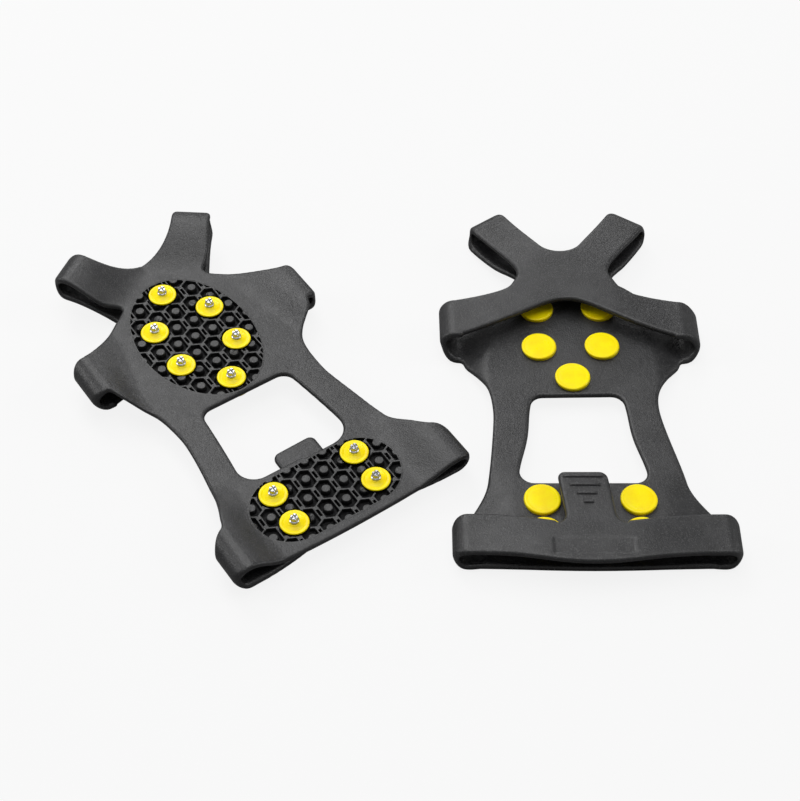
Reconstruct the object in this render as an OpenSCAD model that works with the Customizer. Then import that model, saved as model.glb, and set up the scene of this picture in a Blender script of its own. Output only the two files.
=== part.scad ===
// Pair of slip-on ice cleats: a studded rubber sole, held to a boot by a toe vamp and a heel strap.
// One cleat lies upturned with its studs in the air, the other stands upright on its studs.
// Millimetres, +Z up, the floor at z = 0.
// In a cleat's own frame x runs across the foot, y towards the toe and z towards the foot.
// Its origin is the middle of the ball studs, on the tread face.

/* [Rubber] */
// Thickness of the sole and of the straps
rubber_t = 3.2; // [2.8:0.1:3.8]
// Room between a strap that moves and the loop that it hangs from
part_gap = 0.3; // [0.2:0.05:0.5]

/* [Toe straps] */
// Angle of a toe strap from the foot's middle line, in degrees
toe_angle = 34.5; // [32:0.5:37]
// Distance in front of the ball's middle at which the two toe straps would cross
toe_cross_y = 17.3; // [15:0.1:20]
// Length from that crossing to the outer face of a toe loop
toe_reach = 65.5; // [62:0.5:70]
// Width of a toe strap
toe_w = 19.5; // [17:0.5:22]
// Outer height of a toe loop
toe_loop_h = 10.5; // [9.5:0.25:11.5]
// Length from the crossing to where a toe strap bends down from the level part of the vamp
toe_root = 18; // [16:0.5:19.5]

/* [Vamp] */
// Height of the vamp's top above the tread face
vamp_h = 13.75; // [12.5:0.25:17]
// Front of the vamp between the toe straps
vamp_front_y = 43.5; // [42:0.5:46]
// Rear edge of the vamp on the middle line
vamp_rear_y = 11; // [8:0.1:13]
// Sideways place of the notch between a toe strap and a side strap
notch_x = 23; // [21:0.5:25]

/* [Side straps] */
// Length from the middle line to the outer face of a side loop
side_reach = 61.5; // [59:0.5:66]
// Width of a side loop along the foot
side_w = 24; // [22:0.5:26]
// Place along the foot of a side loop's middle
side_y = 0; // [-2:0.1:1]

/* [Ball pad] */
// Front edge of the sole between the toe straps
sole_front_y = 53; // [50:0.5:56]
// Place along the foot of the sole's notch between a toe strap and a side strap
sole_notch_y = 33; // [31:0.5:35]
// Width of the oval tread under the ball
ball_tread_w = 54.4; // [52:0.2:58]
// Length of the oval tread under the ball
ball_tread_l = 81.2; // [80:0.2:84]

/* [Waist] */
// Half width of the sole at the waist
waist_half = 37.5; // [36:0.5:40]
// Front edge of the waist opening
opening_front_y = -41.5; // [-43:0.5:-40.5]
// Rear edge of the waist opening
opening_rear_y = -90.5; // [-91.5:0.25:-89]
// Half width of the waist opening at its front
opening_front_half = 22; // [20:0.5:24]
// Half width of the waist opening at its rear
opening_rear_half = 28; // [26:0.5:30]
// Corner radius of the waist opening
opening_r = 6; // [4:0.5:8]

/* [Heel] */
// Rear edge of the sole and of the heel strap
heel_rear_y = -132.5; // [-137:0.5:-131]
// Width of the heel strap along the foot
heel_w = 21; // [19.5:0.25:22]
// Length from the middle line to the outer face of a heel loop
heel_reach = 61.8; // [59:0.1:66]
// Height of the heel strap's top above the tread face
heel_h = 11.75; // [10.5:0.25:13]
// Width of the racetrack tread under the heel
heel_tread_w = 73; // [71:0.5:76]
// Length of the racetrack tread under the heel
heel_tread_l = 37; // [36:0.5:38]

/* [Lugs] */
// Bend of the upturned cleat's toe lugs towards the tread side
upturned_toe_bend = 10; // [6:0.5:12]
// Bend of the upturned cleat's side and heel lugs towards the tread side
upturned_lug_bend = 6; // [3:0.5:8]
// Height of the upturned cleat's toe straps where they meet their loops
upturned_toe_h = 4.5; // [4:0.25:8]
// Height of the upturned cleat's side straps where they meet their loops
upturned_side_h = 7; // [5:0.25:10]
// Height of the upturned cleat's heel strap where it meets its loops
upturned_heel_h = 8.5; // [6:0.25:10.5]
// Bend of the upright cleat's lugs towards the floor
upright_lug_bend = 4; // [2:0.25:5]

/* [Pull tab] */
// Width of the pull tab
tab_w = 22; // [18:0.5:24]
// Length of the pull tab in front of the heel strap
tab_l = 24; // [20:0.5:25]
// Corner radius of the pull tab's tip
tab_r = 3.5; // [2:0.5:5]
// Radius of the fillets where the pull tab flares into the strap
tab_fillet_r = 5; // [3:0.5:7]
// Number of raised grip bars on the pull tab
tab_bars = 4; // [2:1:4]
// Height of a grip bar above the pull tab
tab_bar_h = 0.8; // [0.5:0.1:1.2]
// Sag of the upturned cleat's heel strap towards the toe
upturned_bow = 8; // [4:0.5:10]
// Sag of the upright cleat's heel strap away from the toe
upright_bow = 4; // [0:0.5:6]

/* [Studs] */
// Distance of the front and rear ball studs from the ball's middle
ball_stud_y = 31.5; // [30.5:0.1:32]
// Sideways place of the four side ball studs
ball_stud_side_x = 14.9; // [14:0.1:16]
// Place along the foot of the four side ball studs
ball_stud_side_y = 12.3; // [11:0.1:13]
// Sideways place of the heel studs
heel_stud_x = 21.25; // [20:0.25:22]
// Place along the foot of the front heel studs
heel_stud_front_y = -100.5; // [-101:0.25:-100]
// Distance between the front and rear heel studs
heel_stud_pitch = 18; // [17:0.25:18.5]
// Diameter of a yellow button on the foot side
button_d = 16.4; // [15:0.1:17]
// Thickness of a button's head
button_t = 2.2; // [1.6:0.1:3]
// Diameter of a yellow washer on the tread side
washer_d = 13.2; // [12:0.1:14]
// Height of a washer above the tread face
washer_rise = 1.6; // [1:0.1:2.4]
// Diameter of the shank that runs from the button through the sole and the washer
shank_d = 6; // [5:0.1:7]
// Diameter of a steel spike's collar
collar_d = 4.4; // [4:0.1:4.8]
// Thickness of a steel spike's collar
collar_t = 1.4; // [1:0.1:2]
// Diameter of a steel spike's crown
crown_d = 3.4; // [3:0.1:3.8]
// Reach of a spike's tip below the washer
spike_reach = 3.6; // [3:0.1:4.5]

/* [Tread] */
// Depth of the tread pockets
tread_d = 1.8; // [1.4:0.1:2]
// Distance across the foot between two nubs
cell_w = 9.4; // [8.8:0.1:10.4]
// Distance along the foot between two rows of nubs
cell_l = 9.4; // [8.8:0.1:10.4]
// Width of the ribs between the pockets
rib_w = 0.9; // [0.7:0.1:1.2]
// Width of the slot between two pockets of a row
slot_w = 1.2; // [0.8:0.1:1.4]
// Diameter of a nub
nub_d = 4.2; // [3.4:0.1:4.6]
// Room round a washer in the tread
seat_gap = 0.8; // [0.5:0.1:1]

/* [Pair] */
// Place of the upturned cleat's ball across the floor
upturned_x = -84.4; // [-140:0.05:-80]
// Place of the upturned cleat's ball along the floor
upturned_y = 28.65; // [15:0.05:55]
// Turn of the upturned cleat on the floor, in degrees
upturned_turn = 34.7; // [30:0.1:40]
// Place of the upright cleat's ball across the floor
upright_x = 92.55; // [88:0.05:140]
// Place of the upright cleat's ball along the floor
upright_y = 37.65; // [0:0.05:55]
// Turn of the upright cleat on the floor, in degrees
upright_turn = 2; // [0:0.1:4]

/* [Hidden] */
$fn = 64;
rubber_colour = "#2d2d2f";
yellow_colour = "#f7e01c";
steel_colour = "#c8cbd0";

// Ends of the side loops and of the heel loops along the foot
side_front = side_y + side_w / 2;
side_rear = side_y - side_w / 2;
heel_front = heel_rear_y + heel_w;

// Waist opening
opening_front_mid = [opening_front_half - opening_r, opening_front_y - opening_r];
opening_rear_mid = [opening_rear_half - opening_r, opening_rear_y + opening_r];
opening_lean = atan2(opening_rear_mid.x - opening_front_mid.x, opening_front_mid.y - opening_rear_mid.y);
waist_front = opening_front_mid.y;
waist_rear = opening_rear_mid.y;

// Steps along the sole's edge, from the toe to the heel
sole_valley = [8, 2.3];
lug_inner_l = 14;
lug_outer_l = 20;
notch_turn = [7, -8];
side_flare = [-8, 3.5];
side_taper = [-6, -3];
flank_front = [4, -12];
flank_rear = [1, -23];
waist_hollow = [1.5, -12];
waist_flare = 6.7;
heel_flank = [3, -9];
heel_flare = [-4, 6.5];
heel_lug_x = 38;

// Corners of the sole's level parts on the right, from the toe to the heel
sole_front = [0, sole_front_y];
sole_notch = [notch_x, sole_notch_y];
notch_rear = sole_notch + notch_turn;
flank_top = [waist_half, side_rear] + flank_front;
flank_low = [waist_half, side_rear] + flank_rear;
waist_corner = [waist_half, waist_front];
heel_corner = [waist_half + waist_flare, waist_rear];
heel_rear_corner = [heel_lug_x, heel_rear_y];

// Steps along the vamp's edge
toe_spread = 0.6;
toe_spread_l = 9;
toe_overlap = 2;
valley_turn = [3.6, 3.6];
valley_l = 11;
vamp_taper = [-22, 9];

// Corners of the vamp's level part on the right
vamp_notch = [notch_x, toe_cross_y] + [1.5, 5.5];
vamp_flare = [notch_x, side_front] + [9, 5];
vamp_root = [notch_x, side_front] + [-2, -8.4];
vamp_apex = [9, vamp_rear_y - 2];

// Shares of the pull tab's length that the grip bars take, and of a tread row that its shapes take
bar_inset = 3;
bar_pitch = 0.17;
bar_w = 0.07;
tab_sink = 6;
strap_root = 20;
pocket_shoulder = 0.38;
pocket_peak = 0.5;
slot_share = 0.4;

// Stud stack, measured along z
tip_z = -washer_rise - spike_reach;
shank_r = shank_d / 2;
fit_gap = 0.1;
overcut = 1;
stem_d = 2.4;
stem_cover = 0.8;
stem_top = rubber_t - stem_cover;
crown_slot_w = 0.8;
crown_slot_d = 0.9;
edge_round = 0.9;
button_flat = 0.6;
button_fall = 0.2;
rim_w = 1.2;
dish_d = 0.4;
heel_stud_rear_y = heel_stud_front_y - heel_stud_pitch;
ball_studs = [
    [0, ball_stud_y],
    [ball_stud_side_x, ball_stud_side_y],
    [-ball_stud_side_x, ball_stud_side_y],
    [ball_stud_side_x, -ball_stud_side_y],
    [-ball_stud_side_x, -ball_stud_side_y],
    [0, -ball_stud_y]
];
heel_studs = [
    [heel_stud_x, heel_stud_front_y],
    [-heel_stud_x, heel_stud_front_y],
    [heel_stud_x, heel_stud_rear_y],
    [-heel_stud_x, heel_stud_rear_y]
];

// Racetrack tread under the heel, behind a plain rim
heel_tread_rim = 1.5;
heel_tread_y = opening_rear_y - heel_tread_rim - heel_tread_l / 2;

CLEATS = ["upturned", "upright"];
SIDES = ["left", "right"];
NODES = [for (c = CLEATS) each concat(
    [for (p = ["ball_pad", "heel_pad", "vamp", "heel_strap"]) str(c, "_", p)],
    [for (p = ["rail", "toe_loop", "side_loop", "heel_loop"], s = SIDES) str(c, "_", p, "_", s)],
    [for (i = [1 : len(ball_studs)]) str(c, "_ball_button_", i)],
    [for (i = [1 : len(heel_studs)]) str(c, "_heel_button_", i)],
    [for (p = ["ball_washers", "heel_washers", "ball_spikes", "heel_spikes"]) str(c, "_", p)]
)];
node = "all";

// Point of a smooth curve between b and c, on its way from a to d
function between(a, b, c, d, u) =
    let (square = 2 * a - 5 * b + 4 * c - d, cube = 3 * b - 3 * c + d - a)
    0.5 * (2 * b + (c - a) * u + square * u * u + cube * u * u * u);

// Smooth curve through the points p, which comes from the point before and goes on to the point after
function smooth(before, p, after, steps = 5) =
    let (q = concat([before], p, [after]), last = len(p) - 1)
    concat(
        [for (i = [0 : last - 1], k = [0 : steps - 1]) between(q[i], q[i + 1], q[i + 2], q[i + 3], k / steps)],
        [p[last]]
    );

// Arc from angle a to angle b
function arc(mid, r, a, b, steps = 6) =
    [for (k = [0 : steps]) let (t = a + (b - a) * k / steps) mid + r * [cos(t), sin(t)]];

// Points of a straight line from a to b
function line(a, b, steps) = [for (k = [0 : steps]) a + (b - a) * k / steps];

// Smooth step from 0 to 1
function ease(u) = u * u * (3 - 2 * u);

// Half an outline and its mirror image
function whole(half) =
    concat(half, [for (i = [len(half) - 1 : -1 : 0]) if (half[i].x != 0) [-half[i].x, half[i].y]]);

// Point on a toe strap, along it from the crossing and across it
function on_toe(along, across) =
    [along * sin(toe_angle) + across * cos(toe_angle),
     toe_cross_y + along * cos(toe_angle) - across * sin(toe_angle)];

// Reach of a cleat's loops, bend of their lugs and height of their straps
function toe_loop_size(cleat) =
    cleat == "upturned"
        ? [toe_reach, upturned_toe_bend, upturned_toe_h]
        : [toe_reach, upright_lug_bend, toe_loop_h];
function side_loop_size(cleat) =
    cleat == "upturned"
        ? [side_reach, upturned_lug_bend, upturned_side_h]
        : [side_reach, upright_lug_bend, vamp_h];
function heel_loop_size(cleat) =
    cleat == "upturned"
        ? [heel_reach, upturned_lug_bend, upturned_heel_h]
        : [heel_reach, upright_lug_bend, heel_h];

// Outer radius of a loop, the height of its middle and the fold where its lug and its strap end
function loop_r(loop) = (loop[1] + loop[2]) / 2;
function loop_z(loop) = (loop[2] - loop[1]) / 2;
function fold(loop) = loop[0] - loop_r(loop);

// Slope and length of a toe strap, which runs from the level part of the vamp to the top of its loop
function toe_span(toe) = [fold(toe) - toe_root, vamp_h - loop_z(toe)];
function toe_slope(toe) = acos(loop_r(toe) / norm(toe_span(toe))) - atan2(toe_span(toe).x, toe_span(toe).y);
function toe_run(toe) = toe_span(toe) * [cos(toe_slope(toe)), sin(toe_slope(toe))];

// Front and rear edges of the right toe lug, from the level part of the sole out to the loop
function toe_lug_front(toe) = smooth(
    [-sole_valley.x, sole_front_y + sole_valley.y],
    [
        sole_front,
        sole_front + sole_valley,
        on_toe(fold(toe) - lug_inner_l, -toe_w / 2),
        on_toe(fold(toe), -toe_w / 2)
    ],
    on_toe(toe[0], -toe_w / 2)
);
function toe_lug_rear(toe) = smooth(
    notch_rear,
    [
        sole_notch,
        on_toe(fold(toe) - lug_outer_l, toe_w / 2),
        on_toe(fold(toe) - lug_outer_l / 2, toe_w / 2),
        on_toe(fold(toe), toe_w / 2)
    ],
    on_toe(toe[0], toe_w / 2)
);

// Front and rear edges of the right side lug
function side_lug_front(side) = smooth(
    sole_notch,
    [notch_rear, [fold(side), side_front] + side_flare, [fold(side), side_front]],
    [side[0], side_front]
);
function side_lug_rear(side) = smooth(
    flank_low,
    [flank_top, [fold(side), side_rear] + side_taper, [fold(side), side_rear]],
    [side[0], side_rear]
);

// Front and rear edges of the right heel lug
function heel_lug_front(heel) = smooth(
    waist_corner + waist_hollow,
    [
        heel_corner,
        heel_corner + heel_flank,
        [fold(heel), heel_front] + heel_flare,
        [fold(heel), heel_front]
    ],
    [heel[0], heel_front]
);
function heel_lug_rear(heel) =
    line(heel_rear_corner, [fold(heel), heel_rear_y], len(heel_lug_front(heel)) - 1);

// Right half of the edge of the ball pad's level part, from the toe to the waist
function ball_edge(toe, side) = concat(
    [sole_front],
    smooth(
        on_toe(fold(toe) - lug_outer_l, toe_w / 2),
        [sole_notch, notch_rear],
        [fold(side), side_front] + side_flare
    ),
    smooth(
        [fold(side), side_rear] + side_taper,
        [flank_top, flank_low, waist_corner],
        waist_corner + waist_hollow
    )
);

// Right half of the outer edge along the waist
rail_edge = smooth(
    flank_low,
    [waist_corner, waist_corner + waist_hollow, heel_corner],
    heel_corner + heel_flank
);

// Right half of the waist opening's front edge, side and rear edge
opening_edge = concat(
    [[0, opening_front_y]],
    arc(opening_front_mid, opening_r, 90, opening_lean),
    arc(opening_rear_mid, opening_r, opening_lean, -90),
    [[0, opening_rear_y]]
);

// Right half of the edge of the vamp's level part
function vamp_edge(side) = concat(
    [[0, toe_cross_y + toe_root / cos(toe_angle)]],
    smooth(
        on_toe(toe_root + toe_spread_l, toe_w / 2),
        [on_toe(toe_root, toe_w / 2 + toe_spread), vamp_notch],
        vamp_flare
    ),
    smooth(
        [fold(side), side_rear] + vamp_taper,
        [vamp_root, vamp_apex, [0, vamp_rear_y]],
        [-vamp_apex.x, vamp_apex.y]
    )
);

// Front and rear edges of the right side strap, from the level part of the vamp out to the loop
function side_strap_front(side) = smooth(
    on_toe(toe_root, toe_w / 2 + toe_spread),
    [vamp_notch, vamp_flare, [fold(side) - part_gap, side_front]],
    [side[0], side_front]
);
function side_strap_rear(side) = smooth(
    vamp_apex,
    [vamp_root, [fold(side), side_rear] + vamp_taper, [fold(side) - part_gap, side_rear]],
    [side[0], side_rear]
);

// Toe strap seen square on, with y = 0 at the loop and y = -run at the level part of the vamp
function toe_valley(run) = [
    -(vamp_front_y - toe_cross_y) * sin(toe_angle),
    (vamp_front_y - toe_cross_y) * cos(toe_angle) - toe_root - run
];
function toe_strap_edge(run) = concat(
    [[-toe_root * tan(toe_angle) - toe_overlap, -run], toe_valley(run) - [toe_overlap, 0]],
    smooth(
        toe_valley(run) - valley_turn,
        [toe_valley(run), toe_valley(run) + valley_turn, [-toe_w / 2, toe_valley(run).y + valley_l]],
        [-toe_w / 2, 0]
    ),
    [[-toe_w / 2, -part_gap], [toe_w / 2, -part_gap]],
    smooth(
        [toe_w / 2, -part_gap],
        [[toe_w / 2, toe_spread_l - run], [toe_w / 2 + toe_spread, -run]],
        [toe_w / 2 + 2 * toe_spread, -run - toe_spread_l]
    )
);

// Sag of the heel strap at a distance from the middle line
function sag(x, bow, heel) = bow * (1 + cos(180 * x / fold(heel))) / 2;

// Long edge of the heel strap, from x = a to x = b
function strap_edge(y, bow, heel, a, b, steps = 6) =
    [for (p = line([a, y], [b, y], steps)) p + [0, sag(p.x, bow, heel)]];

// The upturned cleat rocks onto the level part of its vamp and the level part of its heel strap
heel_rest_y = heel_rear_y + sag(strap_root, upturned_bow, heel_loop_size("upturned"));
rock = atan2(vamp_h - heel_h, vamp_root.y - heel_rest_y);
upturned_z = vamp_h * cos(rock) - vamp_root.y * sin(rock);

// Puts a cleat in its place on the floor
module place(cleat) {
    if (cleat == "upturned")
        translate([upturned_x, upturned_y, upturned_z])
            rotate([0, 0, upturned_turn])
                rotate([rock, 0, 0])
                    rotate([0, 180, 0])
                        children();
    else
        translate([upright_x, upright_y, -tip_z])
            rotate([0, 0, upright_turn])
                children();
}

// Turns a right-hand piece into a left-hand one
module on_side(side) {
    if (side == "left")
        mirror([1, 0, 0]) children();
    else
        children();
}

// Frame of the right toe strap, with y along the strap
module toe_frame() {
    translate([0, toe_cross_y, 0])
        rotate([0, 0, -toe_angle])
            children();
}

// Bent strip of rubber, of outer radius r and width w, through a turn in degrees
module bend(r, w, turn) {
    rotate_extrude(angle = turn)
        translate([r - rubber_t, 0])
            square([rubber_t, w]);
}

// Strip of rubber that runs out between two edges of equally many points and falls smoothly on the way
module strip(front, rear, fall) {
    last = len(front) - 1;
    sections = [for (k = [0 : last]) let (z = -fall * ease(k / last)) each [
        [front[k].x, front[k].y, z],
        [front[k].x, front[k].y, z + rubber_t],
        [rear[k].x, rear[k].y, z + rubber_t],
        [rear[k].x, rear[k].y, z]
    ]];
    sides = [for (k = [0 : last - 1]) let (a = 4 * k, b = a + 4) each [
        [b + 1, a + 1, a, b],
        [a + 1, b + 1, b + 2],
        [a + 1, b + 2, a + 2],
        [a + 3, a + 2, b + 2, b + 3],
        [a, a + 3, b + 3],
        [a, b + 3, b]
    ]];
    ends = [[0, 1, 2, 3], [4 * last + 3, 4 * last + 2, 4 * last + 1, 4 * last]];
    polyhedron(sections, concat(ends, sides));
}

// One tread pocket with its nub, and the slot beside it
module tread_cell() {
    side = (cell_w - slot_w) / 2 - rib_w;
    shoulder = cell_l * pocket_shoulder;
    peak = shoulder + side * pocket_peak;
    difference() {
        polygon([
            [side, shoulder], [0, peak], [-side, shoulder],
            [-side, -shoulder], [0, -peak], [side, -shoulder]
        ]);
        circle(d = nub_d);
    }
    translate([cell_w / 2, 0])
        square([slot_w, cell_l * slot_share], center = true);
}

// Field of tread pockets over a width and a length
module tread_field(w, l) {
    rows = ceil(l / 2 / cell_l);
    cols = ceil(w / 2 / cell_w);
    for (row = [-rows : rows], col = [-cols : cols])
        translate([(col + abs(row % 2) / 2) * cell_w, row * cell_l])
            tread_cell();
}

// Tread pockets cut to the outline of the children, and a round seat for each stud
module tread_pockets(w, l, middle_y, studs) {
    translate([0, 0, -overcut])
        linear_extrude(overcut + tread_d) {
            intersection() {
                children();
                translate([0, middle_y]) tread_field(w, l);
            }
            for (s = studs)
                translate(s) circle(d = washer_d + 2 * seat_gap);
        }
}

// Holes for the shanks of the studs
module shank_holes(studs) {
    for (s = studs)
        translate([s.x, s.y, -overcut])
            cylinder(d = shank_d + 2 * fit_gap, h = rubber_t + 2 * overcut);
}

// Front of the sole, with its tread, its toe lugs and its side lugs
module ball_pad(toe, side) {
    color(rubber_colour)
        difference() {
            union() {
                linear_extrude(rubber_t)
                    difference() {
                        polygon(whole(ball_edge(toe, side)));
                        polygon(whole(opening_edge));
                    }
                for (s = SIDES)
                    on_side(s) {
                        strip(toe_lug_front(toe), toe_lug_rear(toe), toe[1]);
                        strip(side_lug_front(side), side_lug_rear(side), side[1]);
                    }
            }
            tread_pockets(ball_tread_w, ball_tread_l, 0, ball_studs)
                polygon([for (a = [0 : 7.5 : 359]) [ball_tread_w / 2 * cos(a), ball_tread_l / 2 * sin(a)]]);
            shank_holes(ball_studs);
        }
}

// Rail beside the waist opening
module rail(side) {
    color(rubber_colour)
        on_side(side)
            linear_extrude(rubber_t)
                difference() {
                    polygon(concat(
                        rail_edge,
                        [[0, waist_rear], [0, waist_front]]
                    ));
                    polygon(whole(opening_edge));
                    translate([0, waist_rear - overcut]) square([waist_half * 2, overcut + part_gap]);
                }
}

// Rear of the sole, with its tread and its heel lugs
module heel_pad(heel) {
    r = heel_tread_l / 2;
    color(rubber_colour)
        difference() {
            union() {
                linear_extrude(rubber_t)
                    difference() {
                        polygon(whole([[0, waist_rear], heel_corner, heel_rear_corner, [0, heel_rear_y]]));
                        polygon(whole(opening_edge));
                    }
                for (s = SIDES)
                    on_side(s) strip(heel_lug_front(heel), heel_lug_rear(heel), heel[1]);
            }
            tread_pockets(heel_tread_w, heel_tread_l, heel_tread_y, heel_studs)
                translate([0, heel_tread_y]) {
                    square([heel_tread_w - 2 * r, heel_tread_l], center = true);
                    for (x = [-1, 1])
                        translate([x * (heel_tread_w / 2 - r), 0]) circle(r = r);
                }
            shank_holes(heel_studs);
        }
}

// Bend from the sole up to a toe strap
module toe_loop(toe, side) {
    color(rubber_colour)
        on_side(side)
            toe_frame()
                translate([-toe_w / 2, fold(toe), loop_z(toe)])
                    rotate([0, 90, 0])
                        bend(loop_r(toe), toe_w, 180 - toe_slope(toe));
}

// Bend from the sole up to a strap across the foot
module cross_loop(loop, front, w, side) {
    color(rubber_colour)
        on_side(side)
            translate([fold(loop), front, loop_z(loop)])
                rotate([90, 0, 0])
                    rotate([0, 0, -90])
                        bend(loop_r(loop), w, 180);
}

// Side of the heel strap between x = a and x = b, which falls towards its loop
module strap_side(heel, bow, a, b, side) {
    color(rubber_colour)
        on_side(side)
            translate([0, 0, heel_h - rubber_t])
                strip(
                    strap_edge(heel_front, bow, heel, a, b),
                    strap_edge(heel_rear_y, bow, heel, a, b),
                    heel_h - heel[2]
                );
}

// Bend from the sole up to the heel strap, with the side of a strap that lies on the floor
module heel_loop(heel, bow, lying, side) {
    cross_loop(heel, heel_front, heel_w, side);
    if (lying)
        strap_side(heel, bow, strap_root + part_gap, fold(heel), side);
}

// Crossed straps over the toes: a level middle, two side straps and two sloping toe straps
module vamp(toe, side) {
    slope = toe_slope(toe);
    color(rubber_colour) {
        translate([0, 0, vamp_h - rubber_t]) {
            linear_extrude(rubber_t)
                polygon(whole(vamp_edge(side)));
            for (s = SIDES)
                on_side(s) strip(side_strap_front(side), side_strap_rear(side), vamp_h - side[2]);
        }
        for (s = SIDES)
            on_side(s)
                intersection() {
                    toe_frame()
                        translate([0, fold(toe), loop_z(toe)] + loop_r(toe) * [0, sin(slope), cos(slope)])
                            rotate([-slope, 0, 0])
                                translate([0, 0, -rubber_t])
                                    linear_extrude(rubber_t)
                                        polygon(toe_strap_edge(toe_run(toe)));
                    cube([toe_reach, toe_cross_y + toe_reach, vamp_h]);
                }
    }
}

// Band behind the heel, with the pull tab and its grip bars, sagging by a bow towards the toe
module heel_strap(heel, bow, lying) {
    tab_root = heel_front + bow;
    tip = tab_root + tab_l;
    flare_x = tab_w / 2 + tab_fillet_r;
    if (!lying)
        for (s = SIDES)
            strap_side(heel, bow, strap_root, fold(heel) - part_gap, s);
    color(rubber_colour)
        translate([0, 0, heel_h - rubber_t]) {
            linear_extrude(rubber_t)
                polygon(whole(concat(
                    strap_edge(heel_front, bow, heel, 0, strap_root),
                    strap_edge(heel_rear_y, bow, heel, strap_root, 0)
                )));
            linear_extrude(rubber_t - tab_bar_h)
                polygon(whole(concat(
                    [[0, tip]],
                    arc([tab_w / 2 - tab_r, tip - tab_r], tab_r, 90, 0),
                    arc([flare_x, tab_root + tab_fillet_r], tab_fillet_r, 180, 270),
                    [[flare_x, tab_root - tab_sink], [0, tab_root - tab_sink]]
                )));
            for (i = [0 : tab_bars - 1])
                translate([0, tip - bar_inset - i * tab_l * bar_pitch])
                    linear_extrude(rubber_t)
                        square([tab_w - bar_inset - i * tab_l * bar_pitch, tab_l * bar_w], center = true);
        }
}

// Yellow button on the foot side, with the shank that holds the stud together
module button() {
    head_r = button_d / 2;
    color(yellow_colour)
        difference() {
            translate([0, 0, rubber_t])
                rotate_extrude()
                    polygon(concat(
                        [[0, button_t], [head_r * button_flat, button_t]],
                        arc([head_r - edge_round, button_t - edge_round - button_fall], edge_round, 80, 0),
                        [
                            [head_r, 0],
                            [shank_r, 0],
                            [shank_r, -rubber_t - washer_rise],
                            [0, -rubber_t - washer_rise]
                        ]
                    ));
            translate([0, 0, -washer_rise - overcut])
                cylinder(d = stem_d, h = overcut + washer_rise + stem_top);
        }
}

// Yellow washer on the tread side, dished inside its rim
module washer() {
    outer = washer_d / 2;
    inner = shank_r + fit_gap;
    color(yellow_colour)
        rotate_extrude()
            polygon(concat(
                [
                    [inner, tread_d],
                    [inner, -washer_rise],
                    [outer - rim_w - dish_d, -washer_rise + dish_d],
                    [outer - rim_w, -washer_rise]
                ],
                arc([outer - edge_round, -washer_rise + edge_round], edge_round, -80, 0),
                [[outer, tread_d]]
            ));
}

// Steel spike: a stem in the shank, a collar on the washer and a slotted crown
module spike() {
    color(steel_colour)
        difference() {
            union() {
                translate([0, 0, -washer_rise])
                    cylinder(d = stem_d, h = washer_rise + stem_top);
                translate([0, 0, -washer_rise - collar_t])
                    cylinder(d = collar_d, h = collar_t);
                translate([0, 0, tip_z])
                    cylinder(d = crown_d, h = spike_reach - collar_t);
            }
            for (a = [0, 90])
                translate([0, 0, tip_z])
                    rotate([0, 0, a])
                        cube([crown_d + overcut, crown_slot_w, 2 * crown_slot_d], center = true);
        }
}

// The washers or spikes of a pad
module at_studs(studs) {
    for (s = studs)
        translate(s) children();
}

// Whether a piece of a cleat is drawn
function drawn(cleat, piece) = node == "all" || node == str(cleat, "_", piece);

for (c = CLEATS) {
    toe = toe_loop_size(c);
    side = side_loop_size(c);
    heel = heel_loop_size(c);
    lying = c == "upturned";
    bow = lying ? upturned_bow : -upright_bow;
    if (drawn(c, "ball_pad")) place(c) ball_pad(toe, side);
    if (drawn(c, "heel_pad")) place(c) heel_pad(heel);
    if (drawn(c, "vamp")) place(c) vamp(toe, side);
    if (drawn(c, "heel_strap")) place(c) heel_strap(heel, bow, lying);
    for (s = SIDES) {
        if (drawn(c, str("rail_", s))) place(c) rail(s);
        if (drawn(c, str("toe_loop_", s))) place(c) toe_loop(toe, s);
        if (drawn(c, str("side_loop_", s))) place(c) cross_loop(side, side_front, side_w, s);
        if (drawn(c, str("heel_loop_", s))) place(c) heel_loop(heel, bow, lying, s);
    }
    for (i = [1 : len(ball_studs)])
        if (drawn(c, str("ball_button_", i))) place(c) translate(ball_studs[i - 1]) button();
    for (i = [1 : len(heel_studs)])
        if (drawn(c, str("heel_button_", i))) place(c) translate(heel_studs[i - 1]) button();
    if (drawn(c, "ball_washers")) place(c) at_studs(ball_studs) washer();
    if (drawn(c, "heel_washers")) place(c) at_studs(heel_studs) washer();
    if (drawn(c, "ball_spikes")) place(c) at_studs(ball_studs) spike();
    if (drawn(c, "heel_spikes")) place(c) at_studs(heel_studs) spike();
}
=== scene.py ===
"""Pair of slip-on ice cleats, one upturned and one upright, dressed in rubber, yellow plastic and steel."""

import math

import bpy
import numpy as np
from bpy.props import FloatProperty, FloatVectorProperty, IntProperty, PointerProperty
from mathutils import Matrix, Vector
from mathutils.geometry import delaunay_2d_cdt


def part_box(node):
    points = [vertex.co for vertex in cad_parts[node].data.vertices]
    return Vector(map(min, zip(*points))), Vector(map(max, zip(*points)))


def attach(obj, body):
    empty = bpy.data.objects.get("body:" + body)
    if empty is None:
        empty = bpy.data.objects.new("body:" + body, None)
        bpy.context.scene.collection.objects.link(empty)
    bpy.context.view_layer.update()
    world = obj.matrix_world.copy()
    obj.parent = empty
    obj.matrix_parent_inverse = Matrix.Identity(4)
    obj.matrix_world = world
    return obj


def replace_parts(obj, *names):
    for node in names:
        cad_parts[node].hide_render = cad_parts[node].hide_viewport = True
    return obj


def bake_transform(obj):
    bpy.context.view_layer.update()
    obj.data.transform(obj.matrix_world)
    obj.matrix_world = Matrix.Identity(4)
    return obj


bl_info = {
    "name": "Ice cleats",
    "version": (1, 0, 0),
    "blender": (4, 5, 0),
    "location": "View3D > Sidebar > Cleats",
    "description": "Builds a pair of studded rubber ice cleats round their CAD frame",
    "category": "Add Mesh",
}

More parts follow.
